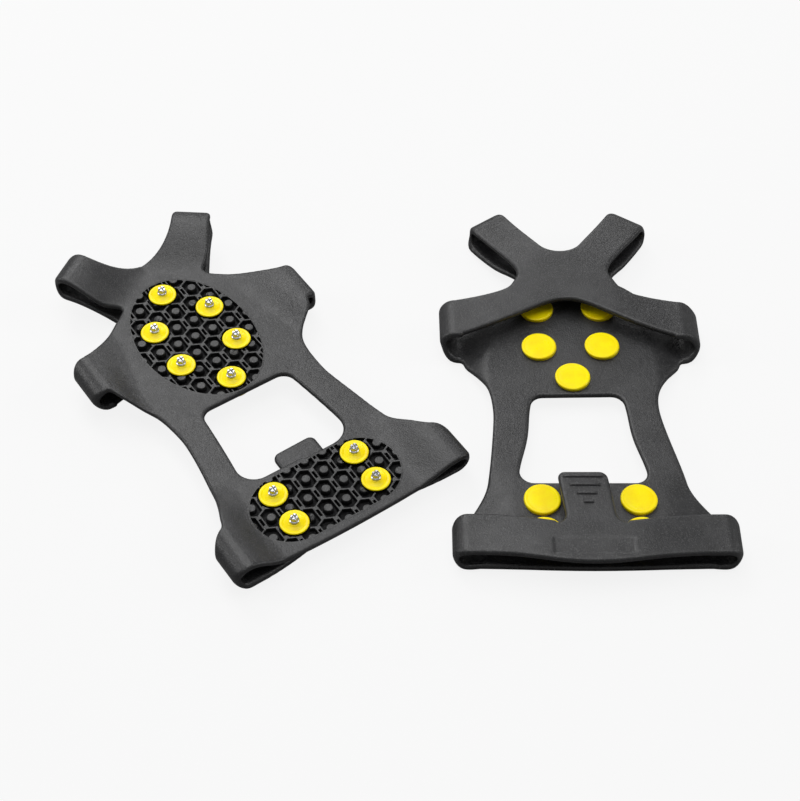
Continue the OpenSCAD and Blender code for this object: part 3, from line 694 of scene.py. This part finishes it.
def thinned(mesh, share):
    """Points and triangles of a mesh with only a share of its faces kept, most of them on the bends."""
    obj = bpy.data.objects.new("thinning", mesh)
    bpy.context.scene.collection.objects.link(obj)
    modifier = obj.modifiers.new("thin", "DECIMATE")
    modifier.ratio = share
    modifier.use_collapse_triangulate = True
    made = bpy.data.meshes.new_from_object(obj.evaluated_get(bpy.context.evaluated_depsgraph_get()))
    points = np.zeros(len(made.vertices) * 3)
    faces = np.zeros(len(made.polygons) * 3, int)
    made.vertices.foreach_get("co", points)
    made.polygons.foreach_get("vertices", faces)
    bpy.data.objects.remove(obj)
    bpy.data.meshes.remove(mesh)
    bpy.data.meshes.remove(made)
    return points.reshape(-1, 3), faces.reshape(-1, 3)


def lathe(profile, segments):
    """Points and faces of a turned piece, from radii and heights that start and end on the axis."""
    points, rings, faces = [], [], []
    for r, z in profile:
        if r == 0:
            rings.append([len(points)])
            points.append((0, 0, z))
        else:
            rings.append(list(range(len(points), len(points) + segments)))
            for i in range(segments):
                a = 2 * math.pi * i / segments
                points.append((r * math.cos(a), r * math.sin(a), z))
    for lower, upper in zip(rings, rings[1:]):
        for i in range(segments):
            j = (i + 1) % segments
            below = [lower[i % len(lower)], lower[j % len(lower)]]
            above = [upper[j % len(upper)], upper[i % len(upper)]]
            faces.append(list(dict.fromkeys(below + above)))
    return points, faces


# Treads


class Tread:
    """Honeycomb of thin ribs with a tall peg in each pocket, cut to an outline, with a seat for each stud."""

    # Distances into a pocket, and the share of its depth that is reached there
    wall = ((0.0, 0.1, 0.3), (0.0, 0.15, 1.0))
    # Distances outside the tread where its rim starts to sink into the sole and where it ends
    rim = (0.4, 0.8)
    # Length of a pocket's slanting edge for each unit across the foot
    tilt = math.hypot(1, 0.5)

    def __init__(self, cleat, outline, middle_y, pad):
        self.cleat, self.s, self.outline = cleat, cleat.s, outline
        s = self.s
        self.studs = np.array([p[:2] for _, p in cleat.studs(pad)])
        self.side = (s.cell_w - s.slot_w) / 2 - s.rib_w
        self.shoulder = s.cell_l * 0.38 + (0.9 - s.rib_w) / 2
        self.slot_half = np.array([s.slot_w / 2, s.cell_l * 0.22])
        self.seat_r = s.washer_d / 2 + s.seat_gap
        width, height = np.ptp(outline, axis=0) / 2
        rows, cols = math.ceil(height / s.cell_l), math.ceil(width / s.cell_w)
        spots = [
            ((col + row % 2 / 2) * s.cell_w, middle_y + row * s.cell_l)
            for row in range(-rows, rows + 1)
            for col in range(-cols, cols + 1)
        ]
        self.cells = np.array(spots)
        inside = -outline_distance(*self.cells.T, outline)
        self.pegs = [(mid, s.peg_rise * (away > 2)) for mid, away in zip(self.cells, inside) if away > -1.5]
        self.peg_radii = (s.peg_d / 2 - 0.25, s.peg_d / 2, s.peg_foot_d / 2)

    def depth(self, p):
        """Depth of points below the ribs, with a chamfer and a draft on each wall."""
        into = np.full(len(p), -np.inf)
        for mid in self.cells:
            dx, dy = np.abs(p - mid).T
            pocket = np.minimum(self.side - dx, (self.shoulder + (self.side - dx) / 2 - dy) / self.tilt)
            slot = np.min(self.slot_half - np.abs(p - mid - [self.s.cell_w / 2, 0]), axis=1)
            into = np.maximum(into, np.maximum(pocket, slot))
        into = np.minimum(into, -outline_distance(*p.T, self.outline))
        depth = np.interp(into, *self.wall) * self.s.tread_d
        for mid, rise in self.pegs:
            away = np.linalg.norm(p - mid, axis=1)
            peg = np.interp(away, self.peg_radii, (-rise, 0.15 - rise, self.s.tread_d), right=np.inf)
            depth = np.where(depth > 0, np.minimum(depth, peg), depth)
        for mid in self.studs:
            into = self.seat_r - np.linalg.norm(p - mid, axis=1)
            depth = np.where(into > 0, np.maximum(depth, np.interp(into, *self.wall) * self.s.tread_d), depth)
        return depth

    def contours(self):
        """Closed lines that the surface bends along."""
        lines = []
        for e, peg_r in zip(self.wall[0], self.peg_radii):
            side, low = self.side - e, self.shoulder - e * (self.tilt - 0.5)
            peak = self.shoulder + self.side / 2 - e * self.tilt
            upper = [[side, low], [0, peak], [-side, low]]
            hexagon = np.array(upper + [[-x, -y] for x, y in upper])
            w, h = self.slot_half - e
            slot = np.array([[w, h], [-w, h], [-w, -h], [w, -h]]) + [self.s.cell_w / 2, 0]
            lines += [shape + mid for mid in self.cells for shape in (hexagon, slot)]
            lines += [arc(mid, peg_r, 0, 337.5, 15) for mid, _ in self.pegs]
            lines += [arc(mid, self.seat_r - e, 0, 352.5, 47) for mid in self.studs]
        ends = np.cumsum([len(line) for line in lines])[:-1]
        near = np.split(outline_distance(*np.vstack(lines).T, self.outline), ends)
        lines = [line for line, away in zip(lines, near) if away.min() < 0.05]
        return lines + [self.grown(by) for by in (-0.3, -0.1, 0, *self.rim)]

    def grown(self, by):
        """Outline of the tread, grown by a distance."""
        step = np.roll(self.outline, -1, 0) - np.roll(self.outline, 1, 0)
        out = np.column_stack([step[:, 1], -step[:, 0]]) / np.linalg.norm(step, axis=1, keepdims=True)
        return self.outline + by * out

    def mesh(self, name):
        """Mesh of the tread's face, with a thin rim that lies on the sole round it."""
        points, edges = [], []
        for line in self.contours():
            n = len(points)
            points += [Vector(p) for p in line]
            edges += [(n + i, n + (i + 1) % len(line)) for i in range(len(line))]
        flat, _, faces, *_ = delaunay_2d_cdt(points, edges, [], 0, 1e-4)
        flat = np.array(flat)
        outside = outline_distance(*flat.T, self.outline)
        start, end = self.rim
        rim = 0.12 * ease((outside - start) / (end - start)) - 0.05
        depth = self.depth(flat)
        z = depth + rim + self.cleat.both("sole_mid", *flat.T) - self.cleat.right.half_t
        faces = np.array([f for f in faces if len(f) == 3])
        kept = outline_distance(*flat[faces].mean(1).T, self.grown(end)) < 0
        points = self.cleat.settled(np.column_stack([flat, z]))
        mesh = mesh_of(name, points, faces[kept][:, ::-1], smooth_angle=25)
        mesh.attributes.new("depth", "FLOAT", "POINT").data.foreach_set("value", depth)
        return mesh


# Materials


def add_node(tree, kind, inputs=None, **options):
    """Adds a node with its own options, and sets or links its inputs by name or number."""
    node = tree.nodes.new(kind)
    for name, value in options.items():
        setattr(node, name, value)
    for name, value in (inputs or {}).items():
        if isinstance(value, bpy.types.NodeSocket):
            tree.links.new(value, node.inputs[name])
        else:
            node.inputs[name].default_value = value
    return node


def new_material(name):
    """Node material that has no nodes yet, and its tree."""
    material = bpy.data.materials.new(name)
    material.use_nodes = True
    material.node_tree.nodes.clear()
    return material, material.node_tree


def spots_in_mm(tree):
    """Place of a shaded point in millimetres."""
    spot = add_node(tree, "ShaderNodeTexCoord").outputs["Object"]
    return add_node(tree, "ShaderNodeVectorMath", {0: spot, "Scale": 1 / MM}, operation="SCALE").outputs[0]


def rubber(name, base, worn, dust_and_glints):
    """Rubber with a fine moulded grain, patches of dust, and pale specks of painted glint that stand in for
    the shine of its grain.
    """
    material, tree = new_material(name)
    spots, made = spots_in_mm(tree), {}
    # Size of each pattern in millimetres, its detail and its roughness
    # The specks are painted glints, pale dots that stand in for the shine of the grain. Real glints and pores
    # are finer, and are drawn as coarse as they need to show
    for part, size, detail, roughness in (
        ("patches", 14, 3.0, 0.6),
        ("specks", 0.7, 2.0, 0.6),
        ("pores", 0.55, 2.0, 0.6),
        ("waves", 2.2, 2.0, 0.5),
        ("polish", 4, 3.0, 0.6),
    ):
        inputs = {"Vector": spots, "Scale": 1 / size, "Detail": detail, "Roughness": roughness}
        made[part] = add_node(tree, "ShaderNodeTexNoise", inputs).outputs["Fac"]
    # Range of a pattern, and what it gives at either end
    for part, low, high, first, last in (
        ("patches", 0.35, 0.7, 0, 0.5 * dust_and_glints),
        # Painted glints: pale specks that stand in for the shine of the grain
        ("specks", 0.5, 0.68, 0, dust_and_glints),
        ("polish", 0.3, 0.7, 0.34, 0.42),
    ):
        inputs = {"Value": made[part], "From Min": low, "From Max": high, "To Min": first, "To Max": last}
        made[part] = add_node(tree, "ShaderNodeMapRange", inputs).outputs["Result"]
    # Dust patches and painted glints, mixed into the base colour
    dust_and_glint_mix = add_node(tree, "ShaderNodeMath", {0: made["patches"], 1: made["specks"]}, operation="MAXIMUM")
    colour = {0: dust_and_glint_mix.outputs[0], 6: (*base, 1), 7: (*worn, 1)}
    grain = add_node(tree, "ShaderNodeMath", {0: made["pores"], 1: made["waves"]}, operation="ADD")
    bump = {"Height": grain.outputs[0], "Strength": 1.0, "Distance": 0.00014}
    inputs = {
        "Base Color": add_node(tree, "ShaderNodeMix", colour, data_type="RGBA").outputs[2],
        "Roughness": made["polish"],
        "Specular IOR Level": 0.42,
        "Normal": add_node(tree, "ShaderNodeBump", bump).outputs["Normal"],
    }
    shader = add_node(tree, "ShaderNodeBsdfPrincipled", inputs)
    add_node(tree, "ShaderNodeOutputMaterial", {"Surface": shader.outputs[0]})
    return material, tree, shader


def moulded_rubber(colours):
    """Black rubber: dark where it faces the eye, with a grey grainy sheen where it lies level, dusty, and
    with painted glints in its grain.
    """
    return rubber("moulded_rubber", colours.rubber, colours.rubber_dust_and_glint, 1.0)[0]


def tread_rubber(colours):
    """The same rubber where it is cut deep: cleaner, with painted shade: a darker base colour, and its shine
    fading with depth so that the pockets are black and the ribs stand out.
    """
    material, tree, shader = rubber("tread_rubber", colours.tread, colours.rubber_dust_and_glint, 0.5)
    # Painted shade: the shine fades from the ribs down to the pockets' floors
    depth = add_node(tree, "ShaderNodeAttribute", attribute_name="depth").outputs["Fac"]
    inputs = {"Value": depth, "From Min": 0.1, "From Max": 1.2, "To Min": 0.5, "To Max": 0.04}
    painted_pocket_shade = add_node(tree, "ShaderNodeMapRange", inputs).outputs["Result"]
    tree.links.new(painted_pocket_shade, shader.inputs["Specular IOR Level"])
    return material


def lemon_plastic(colours):
    """Lemon plastic, moulded: a smooth half-gloss face, a little deeper in colour in soft random patches."""
    material, tree = new_material("lemon_plastic")
    spots, made = spots_in_mm(tree), {}
    # Sizes in millimetres. The real grain is finer, and is drawn as coarse as it needs to show
    for part, size in (("depth", 6), ("polish", 3), ("grain", 0.8)):
        inputs = {"Vector": spots, "Scale": 1 / size, "Detail": 3.0, "Roughness": 0.6}
        made[part] = add_node(tree, "ShaderNodeTexNoise", inputs).outputs["Fac"]
    # Range of a pattern, and what it gives at either end
    for part, low, high, first, last in (("depth", 0.4, 0.75, 0, 0.5), ("polish", 0.3, 0.7, 0.26, 0.36)):
        inputs = {"Value": made[part], "From Min": low, "From Max": high, "To Min": first, "To Max": last}
        made[part] = add_node(tree, "ShaderNodeMapRange", inputs).outputs["Result"]
    colour = {0: made["depth"], 6: (*colours.yellow, 1), 7: (*colours.yellow_deep, 1)}
    bump = {"Height": made["grain"], "Strength": 0.12, "Distance": 0.0001}
    inputs = {
        "Base Color": add_node(tree, "ShaderNodeMix", colour, data_type="RGBA").outputs[2],
        "Roughness": made["polish"],
        "Specular IOR Level": 0.25,
        "Normal": add_node(tree, "ShaderNodeBump", bump).outputs["Normal"],
    }
    shader = add_node(tree, "ShaderNodeBsdfPrincipled", inputs)
    add_node(tree, "ShaderNodeOutputMaterial", {"Surface": shader.outputs[0]})
    return material


def bright_steel(colours):
    """Bright turned steel: a clear metal shine, broken by fine turning marks."""
    material, tree = new_material("bright_steel")
    spots, made = spots_in_mm(tree), {}
    # Sizes in millimetres. Real turning marks are finer, and are drawn as coarse as they need to show
    for part, size in (("polish", 0.6), ("marks", 0.3)):
        inputs = {"Vector": spots, "Scale": 1 / size, "Detail": 3.0, "Roughness": 0.6}
        made[part] = add_node(tree, "ShaderNodeTexNoise", inputs).outputs["Fac"]
    polish = {"Value": made["polish"], "From Min": 0.3, "From Max": 0.7, "To Min": 0.18, "To Max": 0.34}
    bump = {"Height": made["marks"], "Strength": 0.25, "Distance": 0.00005}
    inputs = {
        "Base Color": (*colours.steel, 1),
        "Metallic": 1.0,
        "Roughness": add_node(tree, "ShaderNodeMapRange", polish).outputs["Result"],
        "Normal": add_node(tree, "ShaderNodeBump", bump).outputs["Normal"],
    }
    shader = add_node(tree, "ShaderNodeBsdfPrincipled", inputs)
    add_node(tree, "ShaderNodeOutputMaterial", {"Surface": shader.outputs[0]})
    return material


def studio_floor(colours):
    """Pale matt floor: it keeps a light shadow and otherwise shows the backdrop's flat colour."""
    material, tree = new_material("studio_floor")
    matt = add_node(tree, "ShaderNodeBsdfDiffuse", {"Color": (*colours.floor, 1)}).outputs[0]
    flat = add_node(tree, "ShaderNodeEmission", {"Color": (*colours.floor, 1)}).outputs[0]
    seen = add_node(tree, "ShaderNodeMixShader", {0: 0.92, 1: matt, 2: flat}).outputs[0]
    dim = add_node(tree, "ShaderNodeBsdfDiffuse", {"Color": (*colours.floor_bounce, 1)}).outputs[0]
    path = add_node(tree, "ShaderNodeLightPath").outputs["Is Camera Ray"]
    mix = add_node(tree, "ShaderNodeMixShader", {0: path, 1: dim, 2: seen})
    add_node(tree, "ShaderNodeOutputMaterial", {"Surface": mix.outputs[0]})
    return material


def material_of(name, make):
    """A material that is made once and then shared."""
    return bpy.data.materials.get(name) or make(bpy.context.scene.cleat_colours)


# Operators


class CLEAT_OT_rubber(bpy.types.Operator):
    """Moulds the rubber of both cleats, in stretches that follow the CAD bodies"""

    bl_idname = "cleat.rubber"
    bl_label = "Rubber"

    def execute(self, context):
        material = material_of("moulded_rubber", moulded_rubber)
        for name in CLEATS:
            self.mould(Cleat(name), material)
        return {"FINISHED"}

    def mould(self, cleat, material):
        """Grows one cleat's surface and cuts it into stretches."""
        points, normals, faces = self.surface(cleat)
        mid = points[faces].mean(1)
        strap = self.over(cleat, mid) & (mid[:, 1] < cleat.tab_zone)
        on_strap = np.unique(faces[strap])
        points[on_strap] = cleat.tab_shifted(points[on_strap])
        points, normals = cleat.settled(points), normals @ np.array(cleat.matrix.to_3x3().normalized()).T
        for name, chosen in self.stretches(cleat, mid).items():
            used, index = np.unique(faces[chosen], return_inverse=True)
            mesh = mesh_of(f"{cleat.name}_{name}_rubber", points[used], index.reshape(-1, 3))
            mesh.normals_split_custom_set_from_vertices([tuple(n) for n in normals[used]])
            piece = add_object(mesh.name, mesh, material)
            self.attach(cleat, name, piece)

    def surface(self, cleat):
        """Points, normals and triangles of one cleat's whole moulding, in its own frame."""
        s = cleat.s
        cell = s.cell * 1
        halves = (cleat.left, cleat.right)
        loops = [bend for half in halves for bend in (half.toe, half.side, half.heel)]
        reach = max(bend.reach for bend in loops)
        front = max(half.on_toe(half.toe.reach, -s.toe_w / 2)[1] for half in halves)
        x = np.arange(0, reach + 3, cell)
        y = np.arange(s.heel_rear_y - 8, front + 3, cell)
        z = np.arange(-max(bend.bend for bend in loops) - 2, s.vamp_h + 2, cell)
        left, right = (half.fields(x, y, z) for half in halves)
        body, beds = (np.concatenate([a[:0:-1], b]) for a, b in zip(left, right))
        origin = np.array([-x[-1], y[0], z[0]])
        points, quads = surface_nets(np.maximum(body, -beds), origin, cell)
        points, faces = thinned(mesh_of("moulding", points, quads), s.keep)
        return points, field_slope(body, (points - origin) / cell), faces

    def over(self, cleat, mid):
        """Which faces belong to a strap, above the gap between it and the sole."""
        x, y, z = mid.T
        straps = [cleat.both(height, x, y) for height in ("strap_mid", "vamp_mid")]
        strap = np.where(y < cleat.tab_zone, *straps)
        return z > (strap + cleat.both("sole_mid", x, y)) / 2

    def stretches(self, cleat, mid):
        """Faces of each stretch, by the middle of the face."""
        x, y, _ = mid.T
        over, half = self.over(cleat, mid), cleat.right
        parts, looped = {}, np.zeros(len(mid), bool)
        for side, h in zip(SIDES, (cleat.left, cleat.right)):
            here = (x < 0) == (side == "left")
            along, out = h.toe_place(x, y)[0], np.abs(x)
            for name, chosen in (
                ("toe_loop", (along > h.toe.start) & (y > cleat.side_zone)),
                ("side_loop", (out > h.side.start) & (np.abs(y) < cleat.side_zone)),
                ("heel_loop", (out > h.heel.start) & (y < cleat.heel_zone) | over & cleat.strap_side(x, y)),
            ):
                parts[f"{name}_{side}"] = here & chosen
                looped |= here & chosen
        parts["vamp"] = over & ~looped & (y > cleat.tab_zone)
        parts["heel_strap"] = over & ~looped & (y <= cleat.tab_zone)
        sole = ~over & ~looped
        parts["waist"] = sole & (y < half.waist_front) & (y > half.waist_rear)
        parts["ball_pad"] = sole & (y >= half.waist_front)
        parts["heel_pad"] = sole & (y <= half.waist_rear)
        return parts

    def attach(self, cleat, name, piece):
        """Ties a pad, the vamp or the heel strap to the CAD body that it follows; the waist and the loops
        only hide the CAD parts that they replace, with their places baked into their meshes.
        """
        bodies = {"ball_pad": "ball", "heel_pad": "heel", "vamp": "vamp", "heel_strap": "heel_strap"}
        half = cleat.left if name.endswith("left") else cleat.right
        if name in bodies:
            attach(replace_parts(piece, f"{cleat.name}_{name}"), f"{cleat.name}_{bodies[name]}")
            return
        if name == "waist":
            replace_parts(piece, f"{cleat.name}_rail_left", f"{cleat.name}_rail_right")
        else:
            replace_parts(piece, f"{cleat.name}_{name}")
            bend = getattr(half, name.split("_")[0])
        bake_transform(piece)


class CLEAT_OT_treads(bpy.types.Operator):
    """Sets the honeycomb treads into their beds"""

    bl_idname = "cleat.treads"
    bl_label = "Treads"

    def execute(self, context):
        material = material_of("tread_rubber", tread_rubber)
        for cleat in map(Cleat, CLEATS):
            half = cleat.right
            for pad, outline, middle in (
                ("ball", half.ball_tread(), 0),
                ("heel", half.heel_tread(), half.heel_tread_y()),
            ):
                name = f"{cleat.name}_{pad}_tread"
                piece = add_object(name, Tread(cleat, outline, middle, pad).mesh(name), material)
                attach(piece, f"{cleat.name}_{pad}")
        return {"FINISHED"}


class CLEAT_OT_grip_bars(bpy.types.Operator):
    """Raises the grip bars on the pull tabs"""

    bl_idname = "cleat.grip_bars"
    bl_label = "Grip bars"

    def execute(self, context):
        s = context.scene.cleat_sizes
        material = material_of("moulded_rubber", moulded_rubber)
        pitch = s.tab_l * 0.17
        for cleat in map(Cleat, CLEATS):
            for i in range(s.tab_bars):
                middle, width = cleat.right.tab_tip - 3 - i * pitch, s.tab_w - 3 - i * pitch
                name = f"{cleat.name}_grip_bar_{i + 1}"
                piece = add_object(name, self.bar(name, cleat, middle, width, s.tab_bar_h), material)
                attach(piece, f"{cleat.name}_heel_strap")
        return {"FINISHED"}

    def bar(self, name, cleat, middle, width, rise):
        """Ridge with a rounded section, its ends run out, that follows the tab's droop."""
        along, section = np.linspace(-1, 1, 25), np.linspace(-1, 1, 9)
        u, v = (g.ravel() for g in np.meshgrid(along, section, indexing="ij"))
        half_w, sunk = 0.9, 0.15
        x, y = u * width / 2, middle + v * half_w
        top = cleat.right.strap_mid(x, y) + cleat.right.half_t
        z = top - sunk + (rise + sunk) * (1 - u**12) * (1 - np.abs(v) ** 3)
        points = cleat.settled(cleat.tab_shifted(np.column_stack([x, y, z])))
        n = len(section)
        faces = [
            (i * n + j, (i + 1) * n + j, (i + 1) * n + j + 1, i * n + j + 1)
            for i in range(len(along) - 1)
            for j in range(n - 1)
        ]
        return mesh_of(name, points, faces, smooth_angle=40)


class StudPiece:
    """What the operators for the studs share: one turned piece at each stud."""

    def set_at_studs(self, kind, material, slot, points, faces, angle, grouped):
        for cleat in map(Cleat, CLEATS):
            for pad in ("ball", "heel"):
                for number, spot in cleat.studs(pad):
                    name = f"{cleat.name}_{pad}_stud_{number}_{kind}"
                    at = cleat.settled(np.array(points) + [spot.x, spot.y, 0])
                    piece = add_object(name, mesh_of(name, at, faces, angle), material)
                    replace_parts(piece, f"{cleat.name}_{pad}_{kind}" + ("s" if grouped else f"_{number}"))
                    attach(piece, f"{cleat.name}_{pad}")


class CLEAT_OT_buttons(bpy.types.Operator, StudPiece):
    """Sets the yellow buttons on the foot side"""

    bl_idname = "cleat.buttons"
    bl_label = "Buttons"

    def execute(self, context):
        s = context.scene.cleat_sizes
        r, top, edge = s.button_d / 2, s.rubber_t + s.button_t, 0.8
        profile = [
            (0, s.rubber_t - 0.4),
            (r - 0.3, s.rubber_t - 0.4),
            (r - 0.05, s.rubber_t + 0.3),
            *arc([r - edge, top - edge - 0.1], edge, 0, 80, 7),
            (r * 0.84, top - 0.1),
            (r * 0.8, top - 0.16),
            (r * 0.76, top - 0.1),
            (r * 0.5, top - 0.03),
            (r * 0.2, top),
            (0, top),
        ]
        points, faces = lathe(profile, segments=56)
        material = material_of("lemon_plastic", lemon_plastic)
        self.set_at_studs("button", material, "yellow_plastic", points, faces, angle=50, grouped=False)
        return {"FINISHED"}


class CLEAT_OT_washers(bpy.types.Operator, StudPiece):
    """Sets the yellow washers on the tread side"""

    bl_idname = "cleat.washers"
    bl_label = "Washers"

    def execute(self, context):
        s = context.scene.cleat_sizes
        r, face, edge = s.washer_d / 2, -s.washer_rise, 0.5
        rim, boss = face + 0.75, s.collar_d / 2 + 0.5
        profile = [
            (0, face + 0.1),
            (boss - 0.3, face),
            (boss, face + 0.2),
            (boss + 0.5, face + 0.55),
            (r - 2.1, rim + 0.05),
            (r - 1.75, rim + 0.2),
            (r - 1.4, rim + 0.02),
            *arc([r - edge, rim + edge], edge, -92, 60, 8),
            (r - 1.6, rim + 1.2),
            (r - 2, s.tread_d),
            (0, s.tread_d),
        ]
        points, faces = lathe(profile, segments=56)
        material = material_of("lemon_plastic", lemon_plastic)
        self.set_at_studs("washer", material, "yellow_plastic", points, faces, angle=50, grouped=True)
        return {"FINISHED"}


class CLEAT_OT_spikes(bpy.types.Operator, StudPiece):
    """Sets the steel spikes: a collar and a crown with four teeth"""

    bl_idname = "cleat.spikes"
    bl_label = "Spikes"

    def execute(self, context):
        s = context.scene.cleat_sizes
        collar, crown, slot = s.collar_d / 2, s.crown_d / 2, 0.3
        seat, tip = -s.washer_rise, -s.washer_rise - s.spike_reach
        root = seat - s.collar_t
        profile = [
            (0, tip + 1.0),
            (crown - 0.15, tip + 1.0),
            (crown, tip + 1.2),
            (crown, root - 0.05),
            (collar - 0.3, root),
            (collar, root + 0.3),
            (collar, seat + 0.2),
            (0, seat + 0.2),
        ]
        points, faces = lathe(profile, segments=24)
        for quarter in range(4):
            self.tooth(points, faces, quarter * math.pi / 2, crown, slot, tip)
        material = material_of("bright_steel", bright_steel)
        self.set_at_studs("spike", material, "steel", points, faces, angle=35, grouped=True)
        return {"FINISHED"}

    def tooth(self, points, faces, turn, crown, slot, tip):
        """Adds one quarter of the crown, with a chamfer round its end."""
        cos, sin, rings = math.cos(turn), math.sin(turn), []
        for inset, z in ((0, tip + 1.15), (0, tip + 0.25), (0.2, tip)):
            r, near = crown - inset, slot + inset
            edge = math.degrees(math.asin(near / r))
            start = len(points)
            for x, y in [(near, near), *arc([0, 0], r, edge, 90 - edge, 5)]:
                points.append((x * cos - y * sin, x * sin + y * cos, z))
            rings.append(list(range(start, len(points))))
        for upper, lower in zip(rings, rings[1:]):
            for i in range(len(upper)):
                j = (i + 1) % len(upper)
                faces.append([upper[j], upper[i], lower[i], lower[j]])
        faces.append(rings[-1][::-1])


# Soft boxes: place and size in metres, and power in watts
LAMPS = {
    "top_box": ((0, 0.1, 1.6), 1.4, 15.5),
    "back_box": ((-0.4, 0.82, 1.06), 0.62, 6.2),
    "rear_box": ((0.15, 1.06, 0.45), 0.44, 1.6),
    "left_box": ((-1.5, 0.2, 0.8), 0.7, 7.5),
    "right_box": ((1.5, 0.2, 0.8), 0.7, 6.0),
}


class CLEAT_OT_stage(bpy.types.Operator):
    """Sets the floor, the light and the camera"""

    bl_idname = "cleat.stage"
    bl_label = "Stage"

    def execute(self, context):
        scene = context.scene
        colours = scene.cleat_colours
        scene.view_settings.view_transform = "Standard"
        reach = 6.0
        corners = [(-reach, -reach, 0), (reach, -reach, 0), (reach, reach, 0), (-reach, reach, 0)]
        floor = add_object("floor", mesh_of("floor", corners, [(0, 1, 2, 3)]), studio_floor(colours))
        self.world(scene, colours)
        for name, (spot, size, power) in LAMPS.items():
            self.lamp(name, spot, size, power)
        self.camera(scene)
        return {"FINISHED"}

    def world(self, scene, colours):
        """Even studio light, with the backdrop's colour for the camera and a share of it in shiny faces."""
        scene.world = bpy.data.worlds.new("studio")
        scene.world.use_nodes = True
        tree = scene.world.node_tree
        tree.nodes.clear()
        rays = add_node(tree, "ShaderNodeLightPath").outputs
        soft = add_node(tree, "ShaderNodeBackground", {"Color": (1, 1, 1, 1), "Strength": 0.12}).outputs[0]
        plain = {"Color": (*colours.floor, 1), "Strength": 1.0}
        backdrop = add_node(tree, "ShaderNodeBackground", plain).outputs[0]
        shiny = add_node(tree, "ShaderNodeMath", {0: rays["Is Glossy Ray"], 1: 0.35}, operation="MULTIPLY")
        seen = {0: rays["Is Camera Ray"], 1: shiny.outputs[0]}
        share = add_node(tree, "ShaderNodeMath", seen, operation="MAXIMUM").outputs[0]
        mix = add_node(tree, "ShaderNodeMixShader", {0: share, 1: soft, 2: backdrop})
        add_node(tree, "ShaderNodeOutputWorld", {"Surface": mix.outputs[0]})

    def lamp(self, name, spot, size, power):
        """Soft box that faces the middle of the pair."""
        light = bpy.data.lights.new(name, "AREA")
        light.shape, light.size, light.energy = "DISK", size, power
        obj = bpy.data.objects.new(name, light)
        obj.location = spot
        obj.rotation_euler = (-Vector(spot)).to_track_quat("-Z", "Y").to_euler()
        bpy.context.scene.collection.objects.link(obj)

    def camera(self, scene):
        """Camera of the photograph, by its distance, its height angle and the point on the floor it faces."""
        away, angle, focal = 0.850, math.radians(49.55), 81.75
        target = Vector((0.01205, 0.00043, 0))
        data = bpy.data.cameras.new("camera")
        data.lens, data.sensor_width, data.sensor_fit = focal, 36, "AUTO"
        data.clip_start, data.clip_end = 0.01, 50
        scene.camera = bpy.data.objects.new("camera", data)
        scene.collection.objects.link(scene.camera)
        back = Vector((0, -math.cos(angle), math.sin(angle)))
        scene.camera.location = target + away * back
        scene.camera.rotation_euler = (-back).to_track_quat("-Z", "Y").to_euler()


class CLEAT_PT_panel(bpy.types.Panel):
    """Sidebar panel with the sizes, the colours and a button for each group of pieces"""

    bl_idname = "CLEAT_PT_panel"
    bl_label = "Ice cleats"
    bl_space_type = "VIEW_3D"
    bl_region_type = "UI"
    bl_category = "Cleats"

    def draw(self, context):
        for operator in OPERATORS:
            self.layout.operator(operator.bl_idname)
        for group in GROUPS:
            box = self.layout.box()
            settings = getattr(context.scene, group)
            for name in settings.__annotations__:
                box.prop(settings, name)


OPERATORS = (
    CLEAT_OT_rubber,
    CLEAT_OT_treads,
    CLEAT_OT_grip_bars,
    CLEAT_OT_buttons,
    CLEAT_OT_washers,
    CLEAT_OT_spikes,
    CLEAT_OT_stage,
)
GROUPS = {
    "cleat_sizes": CleatSizes,
    "cleat_upturned": UpturnedLay,
    "cleat_upright": UprightLay,
    "cleat_colours": CleatColours,
}


def register():
    for cls in (*GROUPS.values(), *OPERATORS, CLEAT_PT_panel):
        bpy.utils.register_class(cls)
    for name, cls in GROUPS.items():
        setattr(bpy.types.Scene, name, PointerProperty(type=cls))


def unregister():
    for name in GROUPS:
        delattr(bpy.types.Scene, name)
    for cls in (CLEAT_PT_panel, *reversed(OPERATORS), *GROUPS.values()):
        bpy.utils.unregister_class(cls)


def main():
    register()
    for operator in OPERATORS:
        group, name = operator.bl_idname.split(".")
        getattr(getattr(bpy.ops, group), name)()
    bpy.context.view_layer.update()


if __name__ == "__main__":
    main()
